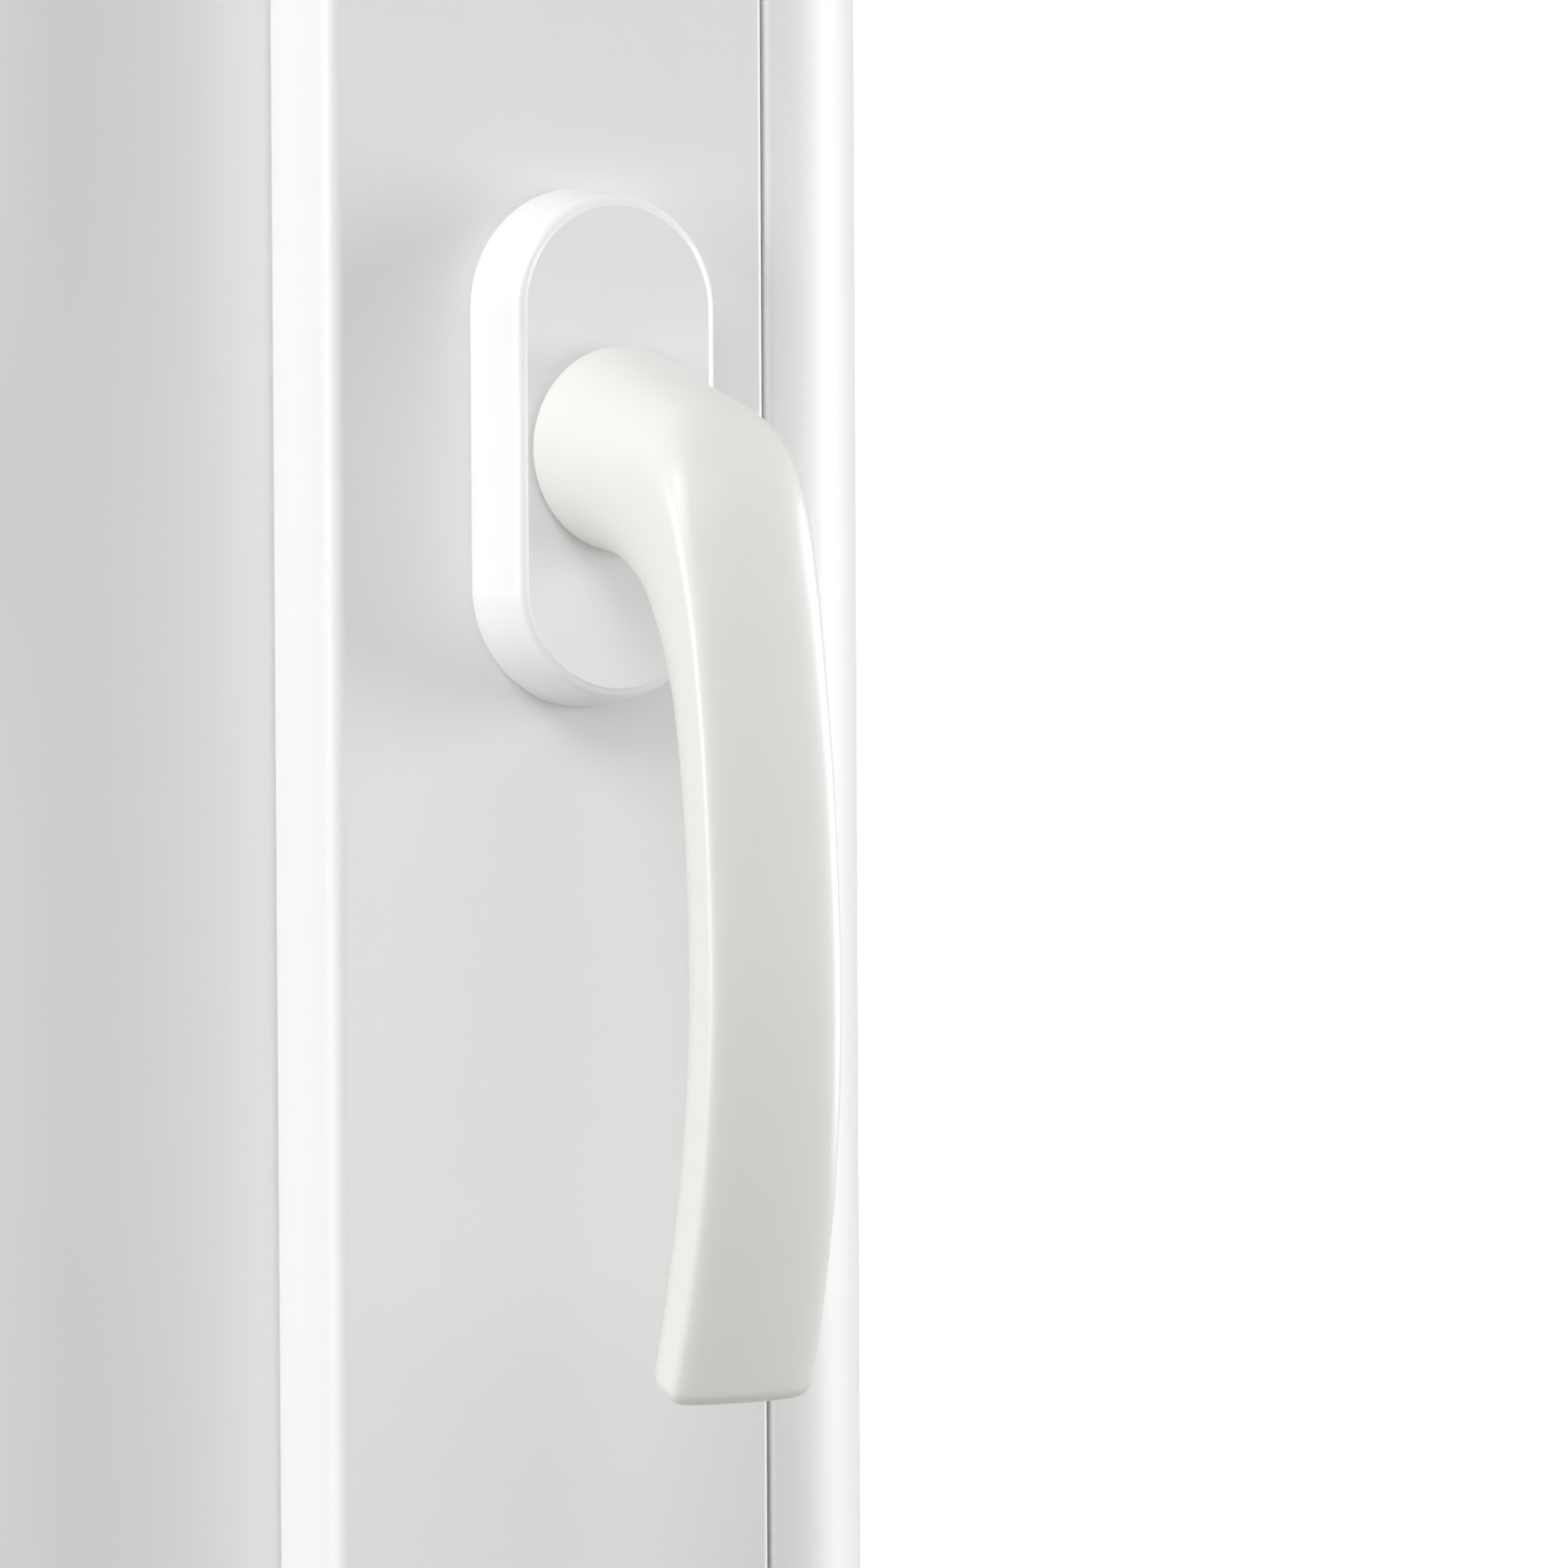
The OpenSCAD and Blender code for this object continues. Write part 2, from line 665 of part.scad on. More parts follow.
module hinge_sash_leaf(z) {
  color(white_coat) hinge_at(z) difference() {
    union() {
      translate([sash_leaf_x, sash_leaf_y - leaf_t, knuckle_h + knuckle_gap])
        cube([-sash_leaf_x, leaf_t, knuckle_h]);
      translate([0, 0, knuckle_h + knuckle_gap]) cylinder(h = knuckle_h, r = knuckle_r);
    }
    hinge_sash_screw_places() screw_hole(lip_screw_l);
    pin_bore();
  }
}

module hinge_pin(z) {
  color(zinc) hinge_at(z) {
    cylinder(h = hinge_h + knuckle_gap, r = pin_r);
    for (z = [-pin_head_h - close_fit, hinge_h + close_fit])
      translate([0, 0, z]) cylinder(h = pin_head_h, r = knuckle_r - 1);
    translate([0, 0, -close_fit - cut]) cylinder(h = 2 * cut, r = pin_r);
  }
}

module hinge_frame_leaf_top() { hinge_frame_leaf(HINGES[0]); }
module hinge_frame_leaf_bottom() { hinge_frame_leaf(HINGES[1]); }
module hinge_sash_leaf_top() { hinge_sash_leaf(HINGES[0]); }
module hinge_sash_leaf_bottom() { hinge_sash_leaf(HINGES[1]); }
module hinge_pin_top() { hinge_pin(HINGES[0]); }
module hinge_pin_bottom() { hinge_pin(HINGES[1]); }

// Snap-on cover: a tray turned over a leaf, from x0 to x1 and z0 to z1, standing t proud of y
module cover(x0, x1, z0, z1, y, t) {
  difference() {
    translate([x0, y - t, z0]) cube([x1 - x0, t, z1 - z0]);
    translate([x0 + cover_wall_t, y - t + cover_wall_t, z0 + cover_wall_t])
      cube([x1 - x0 - 2 * cover_wall_t, t, z1 - z0 - 2 * cover_wall_t]);
  }
}

module hinge_frame_covers() {
  color(white_coat) hinge_places()
    cover(knuckle_r + 1.5, frame_leaf_x[1], 0, hinge_h, frame_leaf_y - leaf_t, cover_t);
}

module hinge_sash_covers() {
  color(white_coat) hinge_places()
    cover(sash_leaf_x, -knuckle_r - 1.5, knuckle_h + knuckle_gap, hinge_h, sash_leaf_y - leaf_t, cover_t);
}

module hinge_frame_screws() { color(zinc) hinge_places() hinge_frame_screw_places() screw(); }
module hinge_sash_screws() { color(zinc) hinge_places() hinge_sash_screw_places() screw(lip_screw_l); }

// ---- lock in the left stile ----

module faceplate_screw_places() {
  from_end = plate_end + 20;
  from_handle = case_h / 2 + 20;
  for (z = [from_end, handle_z - from_handle, handle_z + from_handle, frame_h - from_end])
    translate([side_u, hardware_y, z]) rotate([0, 90, 0]) children();
}

module faceplate() {
  color(zinc) along("left") difference() {
    translate([side_u, hardware_y - plate_w / 2, plate_end])
      cube([plate_t, plate_w, frame_h - 2 * plate_end]);
    for (z = LOCKS) translate([side_u - cut, hardware_y - roller_pin_r - fit, z - travel - roller_pin_r - 1])
      cube([plate_t + 2 * cut, 2 * (roller_pin_r + fit), travel + 2 * (roller_pin_r + 1)]);
    faceplate_screw_places() screw_hole(plate_screw_l);
  }
}

module faceplate_screws() { color(zinc) along("left") faceplate_screw_places() screw(plate_screw_l); }

module gear_case() {
  color(zinc) difference() {
    along("left") translate([0, hardware_y, handle_z]) union() {
      for (y = [-case_out, case_in]) translate([plate_in_u, y, -case_h / 2])
        cube([case_u + case_t - plate_in_u, case_t, case_h]);
      translate([case_u, -case_out, -case_h / 2]) cube([case_t, 2 * case_out, case_h]);
      for (z = [-case_h / 2, case_h / 2 - case_t]) translate([pitch_u + addendum + 1, -case_out, z])
        cube([case_u - pitch_u - addendum, 2 * case_out, case_t]);
      for (side = [-1, 1]) translate([handle_u, -case_out, side * screw_gap / 2])
        rotate([-90, 0, 0]) cylinder(h = 2 * case_out, r = boss_r);
    }
    handle_place() translate([0, 0, -frame_d]) cylinder(h = frame_d, r = hub_r + running);
    handle_place() for (side = [-1, 1])
      translate([0, side * screw_gap / 2, -frame_d]) cylinder(h = frame_d, r = screw_r + running);
  }
}

function involute(a) = tan(a) * 180 / PI - a;
// Half the angle of a pinion tooth at radius r
function half_tooth(r) = tooth / (2 * pitch_r) * 180 / PI
  + involute(pressure) - involute(acos(min(1, base_r / r)));
function polar(r, a) = [r * cos(a), r * sin(a)];

module pinion_outline() {
  root_r = pitch_r - dedendum;
  step = (gear_r - base_r) / 5;
  polygon([for (i = [0:gear_teeth - 1])
    let (middle = 180 + i * 360 / gear_teeth)
    each concat([polar(root_r, middle - half_tooth(base_r))],
      [for (k = [0:5]) polar(base_r + k * step, middle - half_tooth(base_r + k * step))],
      [for (k = [5:-1:0]) polar(base_r + k * step, middle + half_tooth(base_r + k * step))],
      [polar(root_r, middle + half_tooth(base_r))])]);
}

module lock_pinion() {
  color(zinc) translate([handle_x, hardware_y, handle_z]) rotate([90, 0, 0]) difference() {
    union() {
      linear_extrude(rod_w, center = true) pinion_outline();
      cylinder(h = 2 * case_out, r = hub_r, center = true);
    }
    cube([spindle + 2 * running, spindle + 2 * running, frame_d], center = true);
  }
}

// Rack teeth, with a gap at z = 0 where a pinion tooth points at it
module rack_outline() {
  pitch = PI * gear_module;
  tip = tooth - 2 * addendum * tan(pressure);
  root = tooth + 2 * dedendum * tan(pressure);
  for (i = [-3:ceil(travel / pitch) + 2]) translate([0, (i + 0.5) * pitch])
    polygon([[pitch_u - dedendum, -root / 2], [pitch_u + addendum, -tip / 2],
      [pitch_u + addendum, tip / 2], [pitch_u - dedendum, root / 2]]);
  translate([rod_u, -3 * pitch]) square([pitch_u - dedendum - rod_u, (ceil(travel / pitch) + 6) * pitch]);
}

module drive_rod() {
  color(zinc) along("left") difference() {
    union() {
      translate([rod_u, hardware_y - rod_w / 2, lock_end - rod_end])
        cube([rod_t, rod_w, frame_h - 2 * (lock_end - rod_end)]);
      translate([0, hardware_y + rod_w / 2, handle_z])
        rotate([90, 0, 0]) linear_extrude(rod_w) rack_outline();
    }
    for (z = LOCKS) translate([rod_u - cut, hardware_y, z]) rotate([0, 90, 0])
      cylinder(h = rod_t + 2 * cut, r = roller_pin_r + 0.01);
    faceplate_screw_places() translate([-travel - wood_screw_r - fit, -wood_screw_r - fit, 0])
      cube([travel + 2 * (wood_screw_r + fit), 2 * (wood_screw_r + fit), plate_screw_l]);
  }
}

// Stepped pins riveted into the rod, each with a head that holds its roller
module roller_pins() {
  color(zinc) along("left") for (z = LOCKS) translate([0, hardware_y, z]) rotate([0, 90, 0]) {
    translate([0, 0, roller_u - 1]) cylinder(h = rod_u + rod_t - roller_u + 1, r = roller_pin_r);
    translate([0, 0, roller_u - 1]) cylinder(h = 1 - running, r = roller_head_r);
  }
}

module roller(z) {
  color(zinc) along("left") translate([roller_u, hardware_y, z]) rotate([0, 90, 0]) difference() {
    cylinder(h = roller_h, r = roller_r);
    translate([0, 0, -cut]) cylinder(h = roller_h + 2 * cut, r = roller_pin_r + running);
  }
}

module roller_top() { roller(LOCKS[0]); }
module roller_middle() { roller(LOCKS[1]); }
module roller_bottom() { roller(LOCKS[2]); }

// ---- handle ----

// An upright form with round ends that narrows by t on every side over its height
module tapered_oval(w, h, t, high) {
  straight = h - w;
  for (side = [-1, 1]) translate([0, side * straight / 2, 0]) cylinder(h = high, r1 = w / 2, r2 = w / 2 - t);
  rotate([90, 0, 0]) linear_extrude(straight, center = true)
    polygon([[-w / 2, 0], [w / 2, 0], [w / 2 - t, high], [t - w / 2, high]]);
}

module rosette_base() {
  inset = cover_wall + close_fit;
  color(zinc) handle_place() difference() {
    tapered_oval(rosette_w - 2 * inset, rosette_h - 2 * inset, draft * base_t / rosette_t, base_t);
    translate([0, 0, -cut]) cylinder(h = base_t + 2 * cut, r = hub_neck_r + running);
    translate([0, 0, -cut]) cylinder(h = recess_t + cut, r = hub_neck_r + 2.2);
    for (side = [-1, 1]) translate([0, side * screw_gap / 2, -cut]) {
      cylinder(h = base_t + 2 * cut, r = screw_r + 0.2);
      translate([0, 0, cut + base_t - screw_head_t - 0.1]) cylinder(h = base_t, r = screw_head_r + close_fit);
    }
  }
}

module rosette_cover() {
  color(white_coat) handle_place() difference() {
    tapered_oval(rosette_w, rosette_h, draft, rosette_t);
    translate([0, 0, -cut]) tapered_oval(rosette_w - 2 * cover_wall, rosette_h - 2 * cover_wall,
      draft * (rosette_t - cover_wall + cut) / rosette_t, rosette_t - cover_wall + cut);
    cylinder(h = rosette_t + cut, r = hub_neck_r + close_fit);
  }
}

module handle_screws() {
  color(zinc) handle_place() for (side = [-1, 1]) translate([0, side * screw_gap / 2, 0]) {
    translate([0, 0, base_t - screw_head_t]) cylinder(h = screw_head_t, r = screw_head_r);
    translate([0, 0, -case_back]) cylinder(h = case_back + base_t - 1, r = screw_r);
  }
}

// Side view of the lever's arm: bowed outwards, thinner behind, with a rounded tip
module lever_side() {
  crest = -0.6 * lever_l;
  steps = 14;
  top = 5;
  function front(y) = let (r = y > crest ? front_r : tip_r) lever_out - r + sqrt(r * r - pow(y - crest, 2));
  ys = [for (k = [0:steps]) top - k * (lever_l + top) / steps];
  polygon(concat([for (y = ys) [front(y), y]],
    [for (k = [steps:-1:0]) [front(ys[k]) - lever_t, ys[k]]]));
}

module lever_front() {
  half = lever_w / 2;
  top = half + 2;
  polygon(rounded([[-half, top, half - 1], [half, top, half - 1],
    [half, -lever_l, 6], [-half, -lever_l, 6]]));
}

module handle_lever() {
  foot = rosette_t + gap_to_rosette;
  color(white_coat) handle_place() difference() {
    union() {
      translate([0, 0, foot]) cylinder(h = lever_out - lever_t - 2 - foot, r1 = neck_r, r2 = lever_w / 2);
      translate([0, 0, recess_t]) cylinder(h = foot - recess_t + cut, r = hub_neck_r);
      intersection() {
        rotate([0, -90, 0]) linear_extrude(lever_w, center = true) lever_side();
        linear_extrude(2 * lever_out) lever_front();
      }
    }
    translate([0, 0, socket_depth / 2])
      cube([spindle + 2 * running, spindle + 2 * running, socket_depth], center = true);
  }
}

module handle_spindle() {
  color(zinc) handle_place() translate([-spindle / 2, -spindle / 2, -case_back])
    cube([spindle, spindle, case_back + socket_depth - 1]);
}

module handle_circlip() {
  color(steel) handle_place() difference() {
    translate([0, 0, recess_t - circlip_t - 0.1]) cylinder(h = circlip_t, r = hub_neck_r + 1.8);
    cylinder(h = recess_t, r = spindle - 1);
  }
}

frame_jamb_left();
frame_jamb_right();
frame_head();
frame_sill();
frame_steel_jambs();
frame_steel_rails();
frame_stop_gasket();
drain_caps();
striker_top();
striker_middle();
striker_bottom();
striker_screws();
hinge_frame_leaf_top();
hinge_frame_leaf_bottom();
hinge_pin_top();
hinge_pin_bottom();
hinge_frame_covers();
hinge_frame_screws();
sash_stile_left();
sash_stile_right();
sash_rail_top();
sash_rail_bottom();
sash_steel_stiles();
sash_steel_rails();
sash_overlap_gasket();
glazing_gasket();
pane_inner();
pane_outer();
spacer_bar();
edge_sealant();
setting_blocks();
bead_left();
bead_right();
bead_top();
bead_bottom();
bead_gasket();
hinge_sash_leaf_top();
hinge_sash_leaf_bottom();
hinge_sash_covers();
hinge_sash_screws();
faceplate();
faceplate_screws();
gear_case();
rosette_base();
rosette_cover();
handle_screws();
handle_lever();
handle_spindle();
handle_circlip();
lock_pinion();
drive_rod();
roller_pins();
roller_top();
roller_middle();
roller_bottom();
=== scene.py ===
import math

import bmesh
import bpy
import numpy as np
from mathutils import Matrix, Vector


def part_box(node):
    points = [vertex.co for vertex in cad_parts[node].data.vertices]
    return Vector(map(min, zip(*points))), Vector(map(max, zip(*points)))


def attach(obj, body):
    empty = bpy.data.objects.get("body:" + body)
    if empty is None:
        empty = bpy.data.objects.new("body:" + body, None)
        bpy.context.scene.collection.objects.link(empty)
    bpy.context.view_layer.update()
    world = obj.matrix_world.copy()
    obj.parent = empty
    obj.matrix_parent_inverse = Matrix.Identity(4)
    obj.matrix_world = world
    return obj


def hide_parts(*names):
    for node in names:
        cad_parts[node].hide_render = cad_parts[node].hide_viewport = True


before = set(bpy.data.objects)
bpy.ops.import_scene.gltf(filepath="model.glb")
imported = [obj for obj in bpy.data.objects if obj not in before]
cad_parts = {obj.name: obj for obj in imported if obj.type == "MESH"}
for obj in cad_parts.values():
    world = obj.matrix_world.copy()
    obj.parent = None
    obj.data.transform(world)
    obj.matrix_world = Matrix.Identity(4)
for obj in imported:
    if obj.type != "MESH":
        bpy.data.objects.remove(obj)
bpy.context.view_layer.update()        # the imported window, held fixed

mm = 0.001
sides = ("left", "right", "top", "bottom")
uprightSides = ("left", "right")


class Wire:  # a socket in a node tree, so that sums of wires add Math nodes
    def __init__(self, board, socket):
        self.board = board
        self.socket = socket

    def calc(self, operation, *others):
        values = dict(enumerate((self, *others)))
        return self.board.node("ShaderNodeMath", {"operation": operation}, values)

    def __add__(self, other):
        return self.calc("ADD", other)

    def __sub__(self, other):
        return self.calc("SUBTRACT", other)

    def __rsub__(self, other):
        return self.board.node("ShaderNodeMath", {"operation": "SUBTRACT"}, {0: other, 1: self})

    def __mul__(self, other):
        return self.calc("MULTIPLY", other)

    __radd__ = __add__
    __rmul__ = __mul__

    def __truediv__(self, other):
        return self.calc("DIVIDE", other)

    def __lt__(self, other):
        return self.calc("LESS_THAN", other)

    def __gt__(self, other):
        return self.calc("GREATER_THAN", other)

    def smaller(self, other):
        return self.calc("MINIMUM", other)

    def larger(self, other):
        return self.calc("MAXIMUM", other)


class Board:  # a node tree that nodes are put on
    def __init__(self, tree):
        self.tree = tree

    def node(self, kind, settings=None, values=None, out=0):
        made = self.tree.nodes.new(kind)
        for name, value in (settings or {}).items():
            setattr(made, name, value)
        for name, value in (values or {}).items():
            for one in value if isinstance(value, list) else [value]:
                self.feed(made.inputs[name], one)
        return Wire(self, made.outputs[out]) if len(made.outputs) else made

    def feed(self, socket, value):
        if isinstance(value, Wire):
            self.tree.links.new(value.socket, socket)
        else:
            socket.default_value = value

    def parts(self, vector):  # its three numbers
        split = self.tree.nodes.new("ShaderNodeSeparateXYZ")
        self.feed(split.inputs[0], vector)
        return [Wire(self, socket) for socket in split.outputs]

    def smoothStep(self, value, low, high):
        return self.node("ShaderNodeMapRange", {"interpolation_type": "SMOOTHSTEP"}, {
            "Value": value, "From Min": low, "From Max": high})


# A new geometry node tree with named inputs; gives the board and the input wires
def newGroup(name, inputs):
    tree = bpy.data.node_groups.new(name, "GeometryNodeTree")
    for label, kind in inputs.items():
        tree.interface.new_socket(name=label, in_out="INPUT", socket_type="NodeSocket" + kind)
    tree.interface.new_socket(name="Shape", in_out="OUTPUT", socket_type="NodeSocketGeometry")
    board = Board(tree)
    start = tree.nodes.new("NodeGroupInput")
    return board, {socket.name: Wire(board, socket) for socket in start.outputs}


# Ends a geometry node tree in plain geometry
def closeGroup(board, shape):
    shape = board.node("GeometryNodeRealizeInstances", values={"Geometry": shape})
    end = board.tree.nodes.new("NodeGroupOutput")
    board.feed(end.inputs[0], shape)
    return board.tree


def clearNodes(owner):
    owner.use_nodes = True
    owner.node_tree.nodes.clear()
    return Board(owner.node_tree)


def newMaterial(name):
    material = bpy.data.materials.new(name)
    return material, clearNodes(material)


def closeMaterial(board, surface):
    board.node("ShaderNodeOutputMaterial", values={"Surface": surface})


def closePrincipled(board, colour, rough, normal, others=None):
    values = {"Base Color": colour, "Roughness": rough, "Normal": normal, **(others or {})}
    closeMaterial(board, board.node("ShaderNodeBsdfPrincipled", values=values))


def objectCoords(board, scale=(1, 1, 1)):
    coords = board.node("ShaderNodeTexCoord", out="Object")
    return board.node("ShaderNodeMapping", values={"Vector": coords, "Scale": scale})


def noise(board, scale, detail=2.0, roughness=0.5, stretch=(1, 1, 1)):
    coords = objectCoords(board, stretch)
    values = {"Vector": coords, "Scale": scale, "Detail": detail, "Roughness": roughness}
    return board.node("ShaderNodeTexNoise", values=values, out="Fac")


def mixColour(board, amount, first, second):
    made = board.tree.nodes.new("ShaderNodeMix")
    made.data_type = "RGBA"
    board.feed(made.inputs[0], amount)
    board.feed(made.inputs[6], first)
    board.feed(made.inputs[7], second)
    return Wire(board, made.outputs[2])


def bump(board, height, distance, strength):
    values = {"Height": height, "Distance": distance, "Strength": strength}
    return board.node("ShaderNodeBump", values=values)


pvcFinish = {
    "colour": (0.845, 0.85, 0.845, 1),
    "aged": (0.82, 0.822, 0.805, 1),
    "roughness": 0.44,
    "streak": 900,  # streaks left by the extrusion die, across the run
    "streakDepth": 0.004,
    "peel": 2600,
}


def makePvc(name, axis):
    material, board = newMaterial(name)
    stretch = tuple(0.012 if k == axis else 1 for k in range(3))
    streaks = noise(board, pvcFinish["streak"], 3.0, stretch=stretch)
    broad = noise(board, 90, stretch=stretch)
    peel = noise(board, pvcFinish["peel"])
    clouds = noise(board, 7, 3.0)
    tint = (clouds * 0.7 + broad * 0.5 - 0.25).larger(0).smaller(1)
    colour = mixColour(board, tint, pvcFinish["colour"], pvcFinish["aged"])
    rough = pvcFinish["roughness"] + (clouds - 0.5) * 0.12 + (streaks - 0.5) * 0.08
    height = streaks * 0.7 + peel * 0.3
    normal = bump(board, height, pvcFinish["streakDepth"] * mm, 0.8)
    closePrincipled(board, colour, rough, normal, {"IOR": 1.53})
    return material


coatFinishAndShade = {
    "cover": ((0.88, 0.886, 0.882, 1), (0.865, 0.87, 0.865, 1)),
    # painted shade: the lever's colours are darker and warmer than the cover's, standing in for the shade on
    # the lever's front; the hinges get this coat too
    "lever": ((0.832, 0.829, 0.812, 1), (0.802, 0.798, 0.776, 1)),
    "roughness": 0.36,
    "peel": 1100,  # orange peel of the powder coat
    "grain": 5200,
    "depth": 0.008,
}


def makeCoat(name):
    material, board = newMaterial("white_lacquer_" + name)
    peel = noise(board, coatFinishAndShade["peel"], 2.0, 0.4)
    grain = noise(board, coatFinishAndShade["grain"], 1.0)
    clouds = noise(board, 28, 3.0)
    colour = mixColour(board, clouds * 0.6 + grain * 0.4, *coatFinishAndShade[name])
    rough = coatFinishAndShade["roughness"] + (clouds - 0.5) * 0.1 + (grain - 0.5) * 0.1
    normal = bump(board, peel + grain * 0.25, coatFinishAndShade["depth"] * mm, 0.7)
    closePrincipled(board, colour, rough, normal, {"Coat Weight": 0.15, "Coat Roughness": 0.2})
    return material


def makeRubber(name, dark, pale, roughness):
    material, board = newMaterial(name)
    grain = noise(board, 1800, 3.0, 0.6)
    clouds = noise(board, 45)
    colour = mixColour(board, clouds * 0.7 + grain * 0.3, dark, pale)
    rough = roughness + (grain - 0.5) * 0.2
    closePrincipled(board, colour, rough, bump(board, grain, 0.02 * mm, 0.7))
    return material


def makeSteel():
    material, board = newMaterial("galvanised_steel_coat")
    spangle = board.node("ShaderNodeTexVoronoi", {"feature": "F1"}, {
        "Vector": objectCoords(board), "Scale": 120.0, "Randomness": 1.0}, out="Color")
    flakes = board.node("ShaderNodeSeparateColor", values={"Color": spangle})
    fine = noise(board, 700, 3.0)
    colour = mixColour(board, flakes, (0.5, 0.52, 0.54, 1), (0.68, 0.7, 0.72, 1))
    rough = 0.3 + flakes * 0.22 + fine * 0.08
    closePrincipled(board, colour, rough, bump(board, fine, 0.01 * mm, 0.5), {"Metallic": 1.0})
    return material


def makeZinc():
    material, board = newMaterial("zinc_plate_coat")
    brushed = noise(board, 1500, stretch=(1, 1, 0.06))
    clouds = noise(board, 60, 4.0)
    colour = mixColour(board, clouds, (0.62, 0.65, 0.68, 1), (0.76, 0.77, 0.76, 1))
    rough = 0.24 + clouds * 0.14 + brushed * 0.1
    closePrincipled(board, colour, rough, bump(board, brushed, 0.006 * mm, 0.5), {"Metallic": 1.0})
    return material


def makeGlass():
    material, board = newMaterial("clear_glass_pane")
    film = noise(board, 14, 3.0)
    gleam = board.node("ShaderNodeFresnel", values={"IOR": 1.5}, out="Fac")
    clear = board.node("ShaderNodeBsdfTransparent", values={"Color": (0.984, 0.993, 0.989, 1)})
    mirror = board.node("ShaderNodeBsdfPrincipled", values={
        "Base Color": (0.93, 0.96, 0.95, 1), "Roughness": 0.02 + film * 0.02})
    closeMaterial(board, board.node("ShaderNodeMixShader", values={0: gleam, 1: clear, 2: mirror}))
    return material


spacerHoles = {
    "pitch": 6.0,
    "radius": 0.45,
    "line": -13,  # y of the holes, half way between the panes
    "reach": 8,  # the upright bars lie this near the unit's edge
}


def makeSpacer():
    material, board = newMaterial("spacer_aluminium_coat")
    coords = board.node("ShaderNodeTexCoord", out="Object")
    x, y, z = board.parts(coords)
    offLine = y - spacerHoles["line"] * mm
    pitch = spacerHoles["pitch"] * mm

    def spot(value):  # the holes along one axis
        away = ((value / pitch).calc("FRACT") - 0.5) * pitch
        return (away * away + offLine * offLine).calc("SQRT") < spacerHoles["radius"] * mm

    upright = x.calc("ABSOLUTE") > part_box("spacer_bar")[1].x - spacerHoles["reach"] * mm
    # painted shade: the holes are not cut, so they are painted near black for the shade inside them and only
    # dented by the bump
    shadedHoles = (upright * spot(z) + (1 - upright) * spot(x)).smaller(1)
    fine = noise(board, 900)
    colour = mixColour(board, shadedHoles, (0.74, 0.75, 0.77, 1), (0.08, 0.08, 0.08, 1))
    rough = 0.3 + fine * 0.15 + shadedHoles * 0.3
    normal = bump(board, fine * 0.1 - shadedHoles, 0.1 * mm, 0.6)
    closePrincipled(board, colour, rough, normal, {"Metallic": 1 - shadedHoles})
    return material


def makeFloor():
    material, board = newMaterial("studio_floor")
    clouds = noise(board, 3, 4.0)
    grain = noise(board, 300)
    colour = mixColour(board, clouds, (0.5, 0.5, 0.495, 1), (0.55, 0.55, 0.545, 1))
    floor = board.node("ShaderNodeBsdfPrincipled", values={
        "Base Color": colour, "Roughness": 0.6 + grain * 0.15, "Normal": bump(board, grain, 0.1 * mm, 0.3)})
    away = board.node("ShaderNodeVectorMath", {"operation": "LENGTH"}, {0: objectCoords(board)}, out="Value")
    fadeStart, fadeEnd = studio["floorFade"]
    fade = board.smoothStep(away, fadeStart, fadeEnd)
    nothing = board.node("ShaderNodeBsdfTransparent")
    closeMaterial(board, board.node("ShaderNodeMixShader", values={0: fade, 1: floor, 2: nothing}))
    return material


pvcUpright = makePvc("white_pvc_upright", 2)
pvcLevel = makePvc("white_pvc_level", 0)
# the lever's coat, with painted shade in its darker, warmer colour; it also goes on the hinge leaves and
# covers
coat = makeCoat("lever")
coverCoat = makeCoat("cover")
sealRubber = makeRubber("grey_seal_rubber", (0.55, 0.56, 0.56, 1), (0.64, 0.645, 0.64, 1), 0.55)
lipRubber = makeRubber("pale_seal_rubber", (0.74, 0.745, 0.74, 1), (0.8, 0.8, 0.79, 1), 0.5)
blackSealant = makeRubber("black_sealant_rubber", (0.02, 0.02, 0.02, 1), (0.045, 0.045, 0.045, 1), 0.6)
packerPlastic = makeRubber("blue_packer_plastic", (0.1, 0.2, 0.5, 1), (0.14, 0.25, 0.56, 1), 0.4)
steel = makeSteel()
zinc = makeZinc()
glass = makeGlass()
spacer = makeSpacer()
print("materials made")


def meshFromPydata(name, points, faces):
    mesh = bpy.data.meshes.new(name)
    mesh.from_pydata([tuple(p) for p in points], [], faces)
    mesh.validate()
    return mesh


# Opens a mesh for editing, with the points that coincide joined
def joinedWork(mesh, merge):
    work = bmesh.new()
    work.from_mesh(mesh)
    bmesh.ops.remove_doubles(work, verts=work.verts, dist=merge)
    return work


def meshFromWork(name, work):
    mesh = bpy.data.meshes.new(name)
    work.to_mesh(mesh)
    work.free()
    return mesh


def evaluated(obj):
    bpy.context.view_layer.update()
    graph = bpy.context.evaluated_depsgraph_get()
    return bpy.data.meshes.new_from_object(obj.evaluated_get(graph))


def showObject(name, data):
    obj = bpy.data.objects.new(name, data)
    bpy.context.scene.collection.objects.link(obj)
    return obj


# The mesh that a draft object's modifiers give; the draft goes, and so do its helpers
def bake(draft, *helpers):
    mesh = evaluated(draft)
    for obj in (draft, *helpers):
        bpy.data.objects.remove(obj)
    return mesh


# Joins points that coincide and turns the faces outwards
def tidyMesh(mesh, merge=0.0005 * mm):
    work = joinedWork(mesh, merge)
    bmesh.ops.dissolve_degenerate(work, edges=work.edges, dist=merge)
    bmesh.ops.recalc_face_normals(work, faces=work.faces)
    if work.calc_volume(signed=True) < 0:
        bmesh.ops.reverse_faces(work, faces=work.faces)
    work.to_mesh(mesh)
    work.free()
    return mesh


